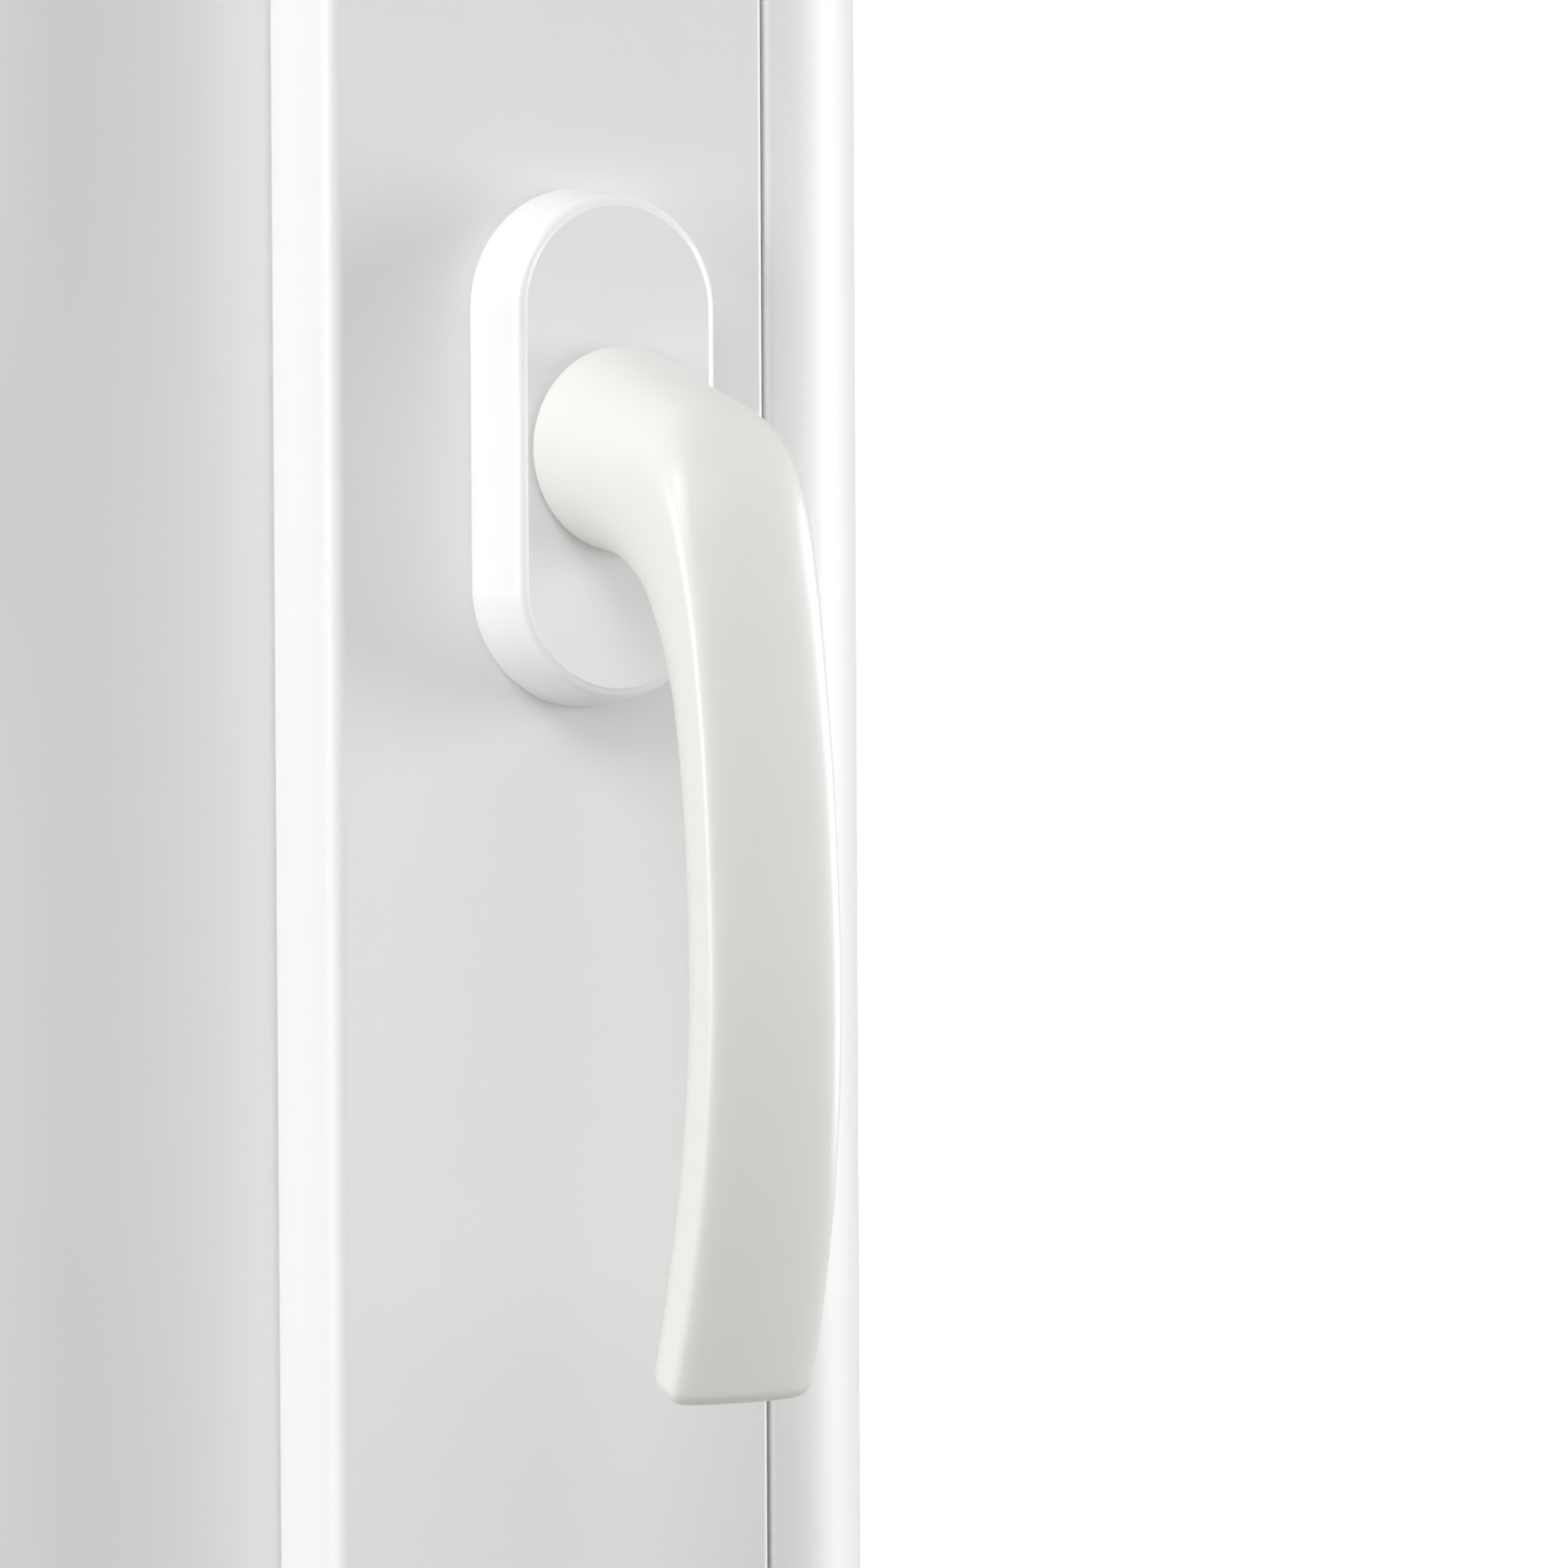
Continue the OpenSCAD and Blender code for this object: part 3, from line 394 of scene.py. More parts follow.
# Gives a mesh its material and its place on a body, in a node's stead
def finishPiece(name, mesh, material, body, node, weighted=True, angle=32):
    mesh.polygons.foreach_set("use_smooth", [True] * len(mesh.polygons))
    mesh.set_sharp_from_angle(angle=math.radians(angle))
    mesh.materials.clear()
    mesh.materials.append(material)
    obj = showObject(name, mesh)
    if weighted:
        modifier = obj.modifiers.new("normals", "WEIGHTED_NORMAL")
        modifier.keep_sharp = True
        shaded = evaluated(obj)
        obj.modifiers.clear()
        obj.data = shaded
    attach(obj, body)
    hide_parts(node)


# A closed outline of [u, y, radius] corners, each rounded corner an arc
def roundedOutline(corners, steps=6):
    points = []
    for index, (u, y, radius) in enumerate(corners):
        here = Vector((u, y))
        if radius == 0:
            points.append(here)
            continue
        before = Vector(corners[index - 1][:2])
        after = Vector(corners[(index + 1) % len(corners)][:2])
        a = (before - here).normalized()
        b = (after - here).normalized()
        half = a.angle(b) / 2
        middle = here + (a + b).normalized() * radius / math.sin(half)
        first = here + a * radius / math.tan(half) - middle
        last = here + b * radius / math.tan(half) - middle
        sweep = last.angle_signed(first)
        for k in range(steps + 1):
            points.append(middle + Matrix.Rotation(sweep * k / steps, 2) @ first)
    return points


def outwardNormals(points):
    area = sum(p.cross(q) for p, q in zip(points, points[1:] + points[:1]))
    sign = 1 if area > 0 else -1
    normals = []
    for before, here, after in zip(points[-1:] + points[:-1], points, points[1:] + points[:1]):
        a = (here - before).normalized()
        b = (after - here).normalized()
        normals.append(Vector((a.y + b.y, -a.x - b.x)).normalized() * sign)
    return normals


# Draws a section out into a bar with 45 degree ends and a shallow groove at each end
def makeBarTree():
    board, given = newGroup("profileBar", {
        "Section": "Geometry", "Length": "Float", "Groove Width": "Float", "Groove Depth": "Float",
        "Closed Ends": "Bool"})
    steps = 5  # the bar is drawn in equal steps, numbered by height, and stretched at the end
    upwards = board.node("ShaderNodeCombineXYZ", values={"X": 0.0, "Y": 0.0, "Z": 1.0})
    walls, top = given["Section"], True
    for _ in range(steps):
        walls = board.node("GeometryNodeExtrudeMesh", {"mode": "EDGES"}, {
            "Mesh": walls, "Selection": top, "Offset": upwards, "Offset Scale": 1.0})
        top = Wire(board, walls.socket.node.outputs["Top"])
    u, y, ring = board.parts(board.node("GeometryNodeInputPosition"))
    fromEnd = ring.smaller(steps - ring)
    outward = board.node("GeometryNodeInputNamedAttribute", {"data_type": "FLOAT_VECTOR"},
                         {"Name": "outward"})
    inset = (fromEnd < 1.5) * given["Groove Depth"] * -1
    shift = board.node("ShaderNodeVectorMath", {"operation": "SCALE"}, {0: outward, "Scale": inset})
    walls = board.node("GeometryNodeSetPosition", values={"Geometry": walls, "Offset": shift})
    faceCount = board.node("GeometryNodeInputMeshEdgeNeighbors")
    rim = (faceCount < 1.5) * (ring < 0.5)
    rimEdges = board.node("GeometryNodeSeparateGeometry", {"domain": "EDGE"},
                          {"Geometry": walls, "Selection": rim})
    loops = board.node("GeometryNodeMeshToCurve", values={"Mesh": rimEdges})
    footCap = board.node("GeometryNodeFillCurve", {"mode": "NGONS"}, {"Curve": loops})
    headCap = board.node("GeometryNodeTransform", values={"Geometry": footCap, "Translation": (0, 0, steps)})
    caps = board.node("GeometryNodeJoinGeometry", values={"Geometry": [footCap, headCap]})
    caps = board.node("GeometryNodeSwitch", {"input_type": "GEOMETRY"},
                      {"Switch": given["Closed Ends"], "True": caps})
    bar = board.node("GeometryNodeJoinGeometry", values={"Geometry": [walls, caps]})
    bar = board.node("GeometryNodeMergeByDistance", values={"Geometry": bar, "Distance": 0.001 * mm})
    near = ring < steps / 2
    rise = (fromEnd.smaller(1) * (given["Groove Width"] - given["Groove Depth"])
            + (fromEnd - 1).larger(0) * given["Groove Depth"])
    height = near * (u + rise) + (1 - near) * (given["Length"] - u - rise)
    sheared = board.node("ShaderNodeCombineXYZ", values={"X": u, "Y": y, "Z": height})
    bar = board.node("GeometryNodeSetPosition", values={"Geometry": bar, "Position": sheared})
    return closeGroup(board, bar)


barTree = makeBarTree()
windowWidth = (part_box("frame_head")[1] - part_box("frame_head")[0]).x
windowHeight = (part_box("frame_jamb_left")[1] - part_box("frame_jamb_left")[0]).z


def setInputs(modifier, tree, values):
    modifier.node_group = tree
    for item in tree.interface.items_tree:
        if item.item_type == "SOCKET" and item.name in values:
            modifier[item.identifier] = values[item.name]


def sectionMesh(name, outline, chambers):
    points, edges, normals = [], [], []
    for number, loop in enumerate([outline, *chambers]):
        first = len(points)
        count = len(loop)
        points += [(p.x * mm, p.y * mm, 0) for p in loop]
        edges += [(first + k, first + (k + 1) % count) for k in range(count)]
        normals += outwardNormals(loop) if number == 0 else [Vector((0, 0))] * count
    mesh = bpy.data.meshes.new(name)
    mesh.from_pydata(points, edges, [])
    outward = mesh.attributes.new("outward", "FLOAT_VECTOR", "POINT")
    outward.data.foreach_set("vector", [c for n in normals for c in (n.x, n.y, 0)])
    return mesh


# Puts a bar drawn with x across, y deep and z along onto one side of the window
def sideMatrix(side):
    half = windowWidth / 2
    right, up = Vector((1, 0, 0)), Vector((0, 0, 1))
    across, along, origin = {
        "left": (right, up, (-half, 0, 0)), "right": (-right, up, (half, 0, 0)),
        "bottom": (up, right, (-half, 0, 0)), "top": (-up, right, (-half, 0, windowHeight))}[side]
    turn = Matrix((across, Vector((0, 1, 0)), along)).transposed()
    return Matrix.Translation(origin) @ turn.to_4x4()


def barMesh(name, side, outline, chambers, groove=(0, 0), closed=True):
    holder = showObject(name + "_draft", sectionMesh(name, outline, chambers))
    modifier = holder.modifiers.new("bar", "NODES")
    setInputs(modifier, barTree, {
        "Length": windowHeight if side in uprightSides else windowWidth,
        "Groove Width": groove[0] * mm, "Groove Depth": groove[1] * mm, "Closed Ends": closed})
    mesh = bake(holder)
    mesh.transform(sideMatrix(side))
    return tidyMesh(mesh)


def ringMesh(name, outline):
    work = bmesh.new()
    for side in sides:
        work.from_mesh(barMesh(name, side, outline, [], closed=False))
    return tidyMesh(meshFromWork(name, work), 0.002 * mm)


def chamber(u0, u1, y0, y1):
    radius = 0.7
    corners = [(u0, y0, radius), (u1, y0, radius), (u1, y1, radius), (u0, y1, radius)]
    return roundedOutline(corners, 3)


# Cuts closed meshes out of a mesh, all in one go
def cutMesh(mesh, cutters):
    work = bmesh.new()
    for cutter in cutters:
        work.from_mesh(cutter)
    body, knife = showObject("cut_body", mesh), showObject("cut_tool", meshFromWork("cutter", work))
    modifier = body.modifiers.new("cut", "BOOLEAN")
    modifier.operation = "DIFFERENCE"
    modifier.solver = "EXACT"
    modifier.object = knife
    return bake(body, knife)


def cylinderMesh(radius, start, end):
    start, end = Vector(start), Vector(end)
    work = bmesh.new()
    turn = (end - start).to_track_quat("Z", "Y").to_matrix().to_4x4()
    place = Matrix.Translation((start + end) / 2) @ turn
    bmesh.ops.create_cone(work, cap_ends=True, segments=48, radius1=radius, radius2=radius,
                          depth=(end - start).length, matrix=place)
    return meshFromWork("cylinder", work)


def boxMesh(low, high):
    work = bmesh.new()
    size = Matrix.Diagonal((*(high - low), 1))
    bmesh.ops.create_cube(work, size=1, matrix=Matrix.Translation((low + high) / 2) @ size)
    return meshFromWork("box", work)


# Makes the four bars of a ring; each list of cutters is one cut
def buildBars(parts, outline, chambers, groove, body, cuts=None):
    for side, (name, node) in parts.items():
        material = pvcUpright if side in uprightSides else pvcLevel
        mesh = barMesh(name, side, outline, chambers, groove)
        for cutters in (cuts or {}).get(side, ()):
            mesh = cutMesh(mesh, cutters)
        finishPiece(name, mesh, material, body, node)


jambLow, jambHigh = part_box("frame_jamb_left")
roomFace = jambLow.y / mm
outFace = jambHigh.y / mm
stopEnd = (jambHigh.x - jambLow.x) / mm
rebate = (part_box("striker_top")[0].x - jambLow.x) / mm
frameBar = {
    "stopFace": outFace - 16,
    "wall": 2.6,
    "web": 1.6,
    "steelHalf": 21.8,  # half the depth of the chamber that holds the steel
    "innerWide": 7,  # the chamber beside it
    "facesDeep": 9,  # the chambers at both faces
    "edge": 1.2,
    "backEdge": 0.8,
    "seal": (6, 9, 1.6),  # the seal's groove in the stop: near side, far side, depth
    "weld": (1.5, 0.22),  # half the width and the depth of the trimmed weld at a corner
}


def frameOutline():
    stop = frameBar["stopFace"]
    near, far, deep = frameBar["seal"]
    edge, back = frameBar["edge"], frameBar["backEdge"]
    return roundedOutline([
        (0, roomFace, back), (rebate, roomFace, edge), (rebate, stop, 0), (rebate + near, stop, 0),
        (rebate + near, stop + deep, 0), (rebate + far, stop + deep, 0), (rebate + far, stop, 0),
        (stopEnd, stop, edge), (stopEnd, outFace, edge), (0, outFace, back)])


def frameChambers():
    wall, web, main, wide, deep = map(frameBar.get, ("wall", "web", "steelHalf", "innerWide", "facesDeep"))
    middle, inner = rebate / 2, rebate - wall
    loops = [chamber(wall, inner - wide - web, -main, main), chamber(inner - wide, inner, -main, main),
             chamber(rebate, stopEnd - wall, frameBar["stopFace"] + wall, outFace - wall)]
    for y in (roomFace + wall, outFace - wall - deep):
        loops += [chamber(wall, middle - web / 2, y, y + deep),
                  chamber(middle + web / 2, inner, y, y + deep)]
    return loops


fixings = {"heights": (150, 450, 750, 1050), "radius": 3.75}
drains = {"reach": 200, "height": 16, "wide": 28, "tall": 4}


def jambCutters(sign):
    outside, inside = sign * (windowWidth / 2 + mm), sign * (windowWidth / 2 - (rebate + 1) * mm)
    return [cylinderMesh(fixings["radius"] * mm, (outside, 0, z * mm), (inside, 0, z * mm))
            for z in fixings["heights"]]


def sillCutters():
    half = Vector((drains["wide"] / 2, 4, drains["tall"] / 2)) * mm
    middles = [Vector((x, outFace, drains["height"])) * mm for x in (-drains["reach"], drains["reach"])]
    return [boxMesh(middle - half, middle + half) for middle in middles]


frameParts = {"left": ("jambLeft", "frame_jamb_left"), "right": ("jambRight", "frame_jamb_right"),
              "top": ("headBar", "frame_head"), "bottom": ("sillBar", "frame_sill")}
frameCuts = {"left": [jambCutters(-1)], "right": [jambCutters(1)], "bottom": [sillCutters()]}
buildBars(frameParts, frameOutline(), frameChambers(), frameBar["weld"], "frame", frameCuts)
print("outer frame made")


sashLow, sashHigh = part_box("sash_stile_left")
gearLow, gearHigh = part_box("gear_case")
sashFace = sashLow.y / mm
lipEdge = (sashLow.x - jambLow.x) / mm
sight = (sashHigh.x - jambLow.x) / mm
hardwareLine = (gearLow.y + gearHigh.y) / 2 / mm
sashBar = {
    "lipBack": -35.2,
    "side": rebate + 12,
    "platform": 122.4,
    "leg": 2,
    "back": sashHigh.y / mm,
    "lip": 2.4,
    "nose": (1.05, 1.3, 0.95),  # beside the bead: reach, depth and rounding
    "edge": 1.2,
    "soft": 0.8,
    "plateSeat": (2.5, 8.2),  # depth and half width of the faceplate's seat
    "rodGroove": (11, 6.2),
    "hook": (11.7, 14.7, 3.3),  # the bead's groove: near and far side behind the face, and depth
    "seal": (4, 7, 1.6),
    "weld": (1.5, 0.22),
    "wall": 2.6,
    "web": 1.6,
    "frontWeb": 88.3,
    "backWeb": 98.1,
    "drainFront": -11.2,  # of the chamber beside the steel
    "steel": (88.6, 5.6),  # its chamber: near side, and how far before the platform it ends
    "steelDeep": (-37.2, -4.2),
}


def sashOutline():
    s = sashBar
    seatDeep, seatHalf = s["plateSeat"]
    rodDeep, rodHalf = s["rodGroove"]
    hookNear, hookFar, hookDeep = s["hook"]
    sealNear, sealFar, sealDeep = s["seal"]
    side, platform, line = s["side"], s["platform"], hardwareLine
    return roundedOutline([
        (lipEdge, sashFace, s["lip"]), (platform + s["nose"][0], sashFace, s["nose"][2]),
        (platform + s["nose"][0], sashFace + s["nose"][1], 0), (platform, sashFace + s["nose"][1] + 0.1, 0),
        (platform, sashFace + hookNear, 0), (platform - hookDeep, sashFace + hookNear, 0),
        (platform - hookDeep, sashFace + hookFar, 0), (platform, sashFace + hookFar, 0),
        (platform, s["leg"], 0), (sight, s["leg"], s["soft"]), (sight, s["back"], s["edge"]),
        (side, s["back"], s["edge"]), (side, line + seatHalf, 0), (side + seatDeep, line + seatHalf, 0),
        (side + seatDeep, line + rodHalf, 0), (side + rodDeep, line + rodHalf, 0),
        (side + rodDeep, line - rodHalf, 0), (side + seatDeep, line - rodHalf, 0),
        (side + seatDeep, line - seatHalf, 0), (side, line - seatHalf, 0), (side, s["lipBack"], 0),
        (lipEdge + sealFar, s["lipBack"], 0), (lipEdge + sealFar, s["lipBack"] - sealDeep, 0),
        (lipEdge + sealNear, s["lipBack"] - sealDeep, 0), (lipEdge + sealNear, s["lipBack"], 0),
        (lipEdge, s["lipBack"], s["soft"])])


def sashChambers():
    s, wall, web = sashBar, sashBar["wall"], sashBar["web"]
    front, shelf, back = sashFace + wall, s["lipBack"] - wall, s["back"] - wall
    side, platform, half = s["side"], s["platform"], web / 2
    steelNear, steelMargin = s["steel"]
    steelFront, steelBack = s["steelDeep"]
    steelFar = platform - steelMargin
    return [chamber(lipEdge + wall, side - half, front, shelf),
            chamber(side + half, s["frontWeb"] - half, front, shelf),
            chamber(s["frontWeb"] + half, steelFar, front, shelf),
            chamber(side + wall, steelNear - web, s["drainFront"], steelBack),
            chamber(steelNear, steelFar, steelFront, steelBack),
            chamber(side + wall, s["backWeb"] - half, steelBack + web, back),
            chamber(s["backWeb"] + half, platform - wall, steelBack + web, back),
            chamber(platform, sight - wall, s["leg"] + wall, back)]


rosetteLow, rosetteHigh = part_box("rosette_cover")
handleX = (rosetteLow.x + rosetteHigh.x) / 2
handleZ = (rosetteLow.z + rosetteHigh.z) / 2
handleHoles = {"spread": 21.5, "screw": 3, "spindle": 8}
gearPocket = {"start": 19, "room": 0.4}  # how far behind the sash edge it starts


def stileCutters():  # one cut each, as the pocket meets the holes
    room = Vector((1, 1, 1)) * gearPocket["room"] * mm
    pocketLow = Vector((sashLow.x + gearPocket["start"] * mm, gearLow.y, gearLow.z)) - room
    pocketHigh = gearHigh + room
    cuts = [[boxMesh(pocketLow, pocketHigh)]]
    spread, screw = handleHoles["spread"], handleHoles["screw"]
    for lift, radius in ((-spread, screw), (0, handleHoles["spindle"]), (spread, screw)):
        z = handleZ + lift * mm
        cuts.append([cylinderMesh(radius * mm, (handleX, sashLow.y - mm, z),
                                   (handleX, pocketHigh.y, z))])
    return cuts


sashParts = {"left": ("stileLeft", "sash_stile_left"), "right": ("stileRight", "sash_stile_right"),
             "top": ("railTop", "sash_rail_top"), "bottom": ("railBottom", "sash_rail_bottom")}
buildBars(sashParts, sashOutline(), sashChambers(), sashBar["weld"], "sash", {"left": stileCutters()})
print("sash made")


beadBar = {
    "start": 123.9,
    "flat": 2.8,  # flat strip beside the joint
    "drop": 9.2,  # how far the curve falls
    "jointDepth": 1.4,
    "foot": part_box("bead_left")[1].y / mm,
    "hook": (12, 14.4, 3),
    "wall": 2,
    "mitre": (0.5, 0.16),
}


def beadCurve():
    b, count = beadBar, 24
    first = b["start"] + b["flat"]
    across = sight - first
    radius = (across ** 2 + b["drop"] ** 2) / (2 * b["drop"])
    sweep = math.asin(across / radius)
    angles = [sweep * k / count for k in range(count + 1)]
    return [(first + radius * math.sin(a), sashFace + radius * (1 - math.cos(a)), 0) for a in angles]


def beadOutline():
    b = beadBar
    platform = sashBar["platform"]
    near, far, deep = b["hook"]
    curve = beadCurve()
    curve[-1] = (*curve[-1][:2], 0.7)
    return roundedOutline([
        (b["start"], sashFace, 1.2), *curve, (sight, b["foot"], 0.3), (platform, b["foot"], 0),
        (platform, sashFace + far, 0), (platform - deep, sashFace + far, 0),
        (platform - deep, sashFace + near, 0), (platform, sashFace + near, 0),
        (platform, sashFace + b["jointDepth"], 0), (b["start"], sashFace + b["jointDepth"], 0)])


def beadHollow():
    b = beadBar
    near, far = b["start"] + b["wall"], sight - b["wall"]
    front, foot = sashFace + 2.6, b["foot"] - b["wall"]
    corners = [(near, front, 0.6), (b["start"] + b["flat"] + 4.3, front, 0.6),
               (far, sashFace + b["drop"] + 1, 0.6), (far, foot, 0.6), (near, foot, 0.6)]
    return roundedOutline(corners, 3)


beadParts = {side: ("bead" + side.capitalize(), "bead_" + side) for side in sides}
buildBars(beadParts, beadOutline(), [beadHollow()], beadBar["mitre"], "sash")
print("glazing beads made")


def stopSealOutline():
    near, far, deep = frameBar["seal"]
    stop = frameBar["stopFace"]
    a, b = rebate + near, rebate + far
    touch = sashBar["back"] + 0.3
    return roundedOutline([
        (a + 0.2, stop + deep - 0.2, 0.3), (b - 0.2, stop + deep - 0.2, 0.3), (b - 0.5, stop, 0.2),
        (b + 2, stop - 0.1, 0.4), (b + 6.2, touch + 0.2, 0.5), (b + 5.6, touch, 0.3),
        (b + 1, stop - 1.6, 1.2), (a - 1, stop - 0.4, 0.4), (a - 1, stop - 0.02, 0.2),
        (a + 0.5, stop, 0.1)], 4)


def lipSealOutline():
    near, far, deep = sashBar["seal"]
    back = sashBar["lipBack"]
    a, b = lipEdge + near, lipEdge + far
    touch = roomFace - 0.12
    return roundedOutline([
        (a + 0.2, back - deep + 0.2, 0.2), (b - 0.2, back - deep + 0.2, 0.2), (b - 0.2, back, 0.2),
        (b + 1.6, back + 0.02, 0.1), (b + 0.8, touch, 0.3), (lipEdge + 0.7, touch, 0.4),
        (lipEdge + 0.5, back + 0.05, 0.15), (a + 0.2, back, 0.1)], 4)


# The strip between the glass and the PVC on one side of the unit, its lip proud of the sight line
def glassSealOutline(pvcFace, glassFace, proud):
    near = sight - 9
    step = 1 if glassFace > pvcFace else -1
    return roundedOutline([
        (near, pvcFace, 0.2), (sight - 0.5, pvcFace, 0.2), (sight + proud, pvcFace + 1.1 * step, 0.5),
        (sight + proud + 0.1, glassFace - 0.1 * step, 0.2), (sight - 1.5, glassFace, 0.2),
        (near, glassFace, 0.2)], 4)


def buildSeals():
    glassLow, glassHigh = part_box("pane_inner")[0].y / mm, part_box("pane_outer")[1].y / mm
    rings = (
        ("stopSeal", stopSealOutline(), sealRubber, "frame", "frame_stop_gasket"),
        ("lipSeal", lipSealOutline(), lipRubber, "sash", "sash_overlap_gasket"),
        ("outerGlassSeal", glassSealOutline(sashBar["leg"], glassHigh, 0.4), sealRubber, "sash",
         "glazing_gasket"),
        ("beadSeal", glassSealOutline(beadBar["foot"], glassLow, 0.3), lipRubber, "sash", "bead_gasket"),
    )
    for name, outline, material, body, node in rings:
        finishPiece(name, ringMesh(name, outline), material, body, node, angle=50)
    print("seals made")


buildSeals()


around = 96  # points round each ring of the handle
angles = np.linspace(0, 2 * math.pi, around, endpoint=False)


# Joins rings of equal count into a skin; rings are arrays of [across, out, up] from the handle's axis
def skinRings(name, rings, closed=False):
    origin = np.array([handleX, sashLow.y, handleZ])
    points = np.concatenate([np.stack([r[:, 0], -r[:, 1], r[:, 2]], 1) * mm + origin for r in rings])
    faces = []
    last = len(rings) if closed else len(rings) - 1
    for i in range(last):
        a, b = i * around, (i + 1) % len(rings) * around
        faces += [(a + k, a + (k + 1) % around, b + (k + 1) % around, b + k) for k in range(around)]
    if not closed:
        faces += [tuple(range(around)), tuple(range((len(rings) - 1) * around, len(rings) * around))]
    return tidyMesh(meshFromPydata(name, points, faces), 0.00001 * mm)


def circleRing(radius, out, lift=0):
    return np.stack([radius * np.cos(angles), np.full(around, out), lift + radius * np.sin(angles)], 1)


def squareRing(side, out):
    reach = side / 2 / np.maximum(abs(np.cos(angles)), abs(np.sin(angles)))
    return np.stack([reach * np.cos(angles), np.full(around, out), reach * np.sin(angles)], 1)


# An upright ring with round ends
def ovalRing(width, height, out):
    lift = np.where(np.sin(angles) >= 0, 1, -1) * (height - width) / 2
    return circleRing(width / 2, out, lift)


rosette = {
    "width": 33.4,
    "height": 70,
    "thickness": 11,
    "draft": 1.4,  # how much each side leans in
    "edge": 1.5,
    "wall": 1.6,
    "bore": 10.3,
}


def buildRosette():
    r = rosette
    rings = []

    def oval(inset, out):
        rings.append(ovalRing(r["width"] - 2 * inset, r["height"] - 2 * inset, out))

    deep, edge, draft, wall, bore = map(r.get, ("thickness", "edge", "draft", "wall", "bore"))
    oval(0.25, 0)
    oval(0.05, 0.25)
    for share in (0.25, 0.5, 0.75, 1):
        out = (deep - edge) * share
        oval(draft * out / deep, out)
    lean = math.atan(draft / deep)
    for k in range(1, 9):
        turn = lean + (math.pi / 2 - lean) * k / 8
        side = draft * (deep - edge) / deep
        oval(side + edge * (math.cos(lean) - math.cos(turn)), deep - edge + edge * (math.sin(turn) - 0.13))
    rings[-1][:, 1] = deep
    for share in (0.3, 0.6):
        rings.append(rings[-1] * (1 - share) + circleRing(bore + 0.4, deep) * share)
    rings += [circleRing(bore + 0.3, deep), circleRing(bore, deep - 0.3), circleRing(bore, deep - wall)]
    oval(wall + draft + 0.4, deep - wall)
    oval(wall + draft, deep - wall - 0.4)
    oval(wall, 0)
    mesh = skinRings("rosette", rings, closed=True)
    finishPiece("rosetteShell", mesh, coverCoat, "sash", "rosette_cover")


# The lever follows two lines, its crest and its back, in pairs of points out from and above the axis.
# Each pair has the half width there, and how square the front of the section is.
lever = {
    "foot": 11.6,
    "hub": 10,
    "socket": (7.1, 20),  # side and end of the spindle's socket
    "pairs": (
        ((11.6, 13.6), (11.6, -14.0), 13.8, 2.0),
        ((17.5, 12.0), (16.5, -14.7), 13.5, 2.0),
        ((25.2, 9.4), (21.2, -15.9), 12.8, 2.05),
        ((32.8, 7.0), (25.6, -18.3), 12.1, 2.3),
        ((39.2, 3.4), (29.4, -22.0), 11.4, 3.2),
        ((43.8, -4.4), (32.5, -26.7), 10.9, 5.0),
        ((47.0, -15.5), (35.2, -32.5), 10.4, 6.5),
        ((49.2, -27.5), (37.3, -39.8), 10.1, 7.5),
        ((51.5, -47), (39.4, -53), 10.05, 8.5),
        ((52.6, -72), (40.4, -73.5), 10.15, 8.5),
        ((50.8, -95), (38.8, -92), 10.4, 8.5),
        ((47.1, -112.5), (35.6, -108), 10.65, 8),
        ((42.9, -126.2), (31.8, -122.4), 10.85, 7),
    ),
    "tip": 2.6,  # radius round the free end
    "crown": 0.26,  # how far the front falls away at its edges, as a share of the front's depth
    "bend": 6,  # pairs that the neck takes to reach the lever's own section
    "backSquare": 2.35,
    "shoulder": 0.36,  # how far the widest line lies behind the crest, as a share of the thickness
}


# Smooth values between the pairs, at place t counted in pairs
def leverAt(t):
    rows = np.array([(*crest, *back, half, square) for crest, back, half, square in lever["pairs"]])
    last = len(rows) - 1
    i = min(int(t), last - 1)
    f = t - i
    p1, p2 = rows[i], rows[i + 1]
    p0 = rows[i - 1] if i > 0 else 2 * p1 - p2
    p3 = rows[i + 2] if i + 2 <= last else 2 * p2 - p1
    return (p1 + (p2 - p0) * f / 2 + (2 * p0 - 5 * p1 + 4 * p2 - p3) * f ** 2 / 2
            + (3 * (p1 - p2) + p3 - p0) * f ** 3 / 2)


def leverRing(t, inset=0.0):
    o1, z1, o2, z2, half, square = leverAt(t)
    crest, back = np.array([o1, z1]), np.array([o2, z2])
    thick = np.linalg.norm(crest - back)
    across = (crest - back) / thick
    bend = min(1.0, t / lever["bend"])
    share = 0.5 + (lever["shoulder"] - 0.5) * bend * bend * (3 - 2 * bend)
    widest = crest - across * thick * share
    front, rear = thick * share - inset, thick * (1 - share) - inset
    backSquare = 2 + (lever["backSquare"] - 2) * bend
    c, s = np.cos(angles), np.sin(angles)
    power = np.where(s >= 0, square, backSquare)
    x = (half - inset) * np.sign(c) * np.abs(c) ** (2 / power)
    crown = 1 - lever["crown"] * bend * (x / half) ** 2
    q = np.where(s >= 0, front * crown, rear) * np.sign(s) * np.abs(s) ** (2 / power)
    return np.stack([x, widest[0] + across[0] * q, widest[1] + across[1] * q], 1)


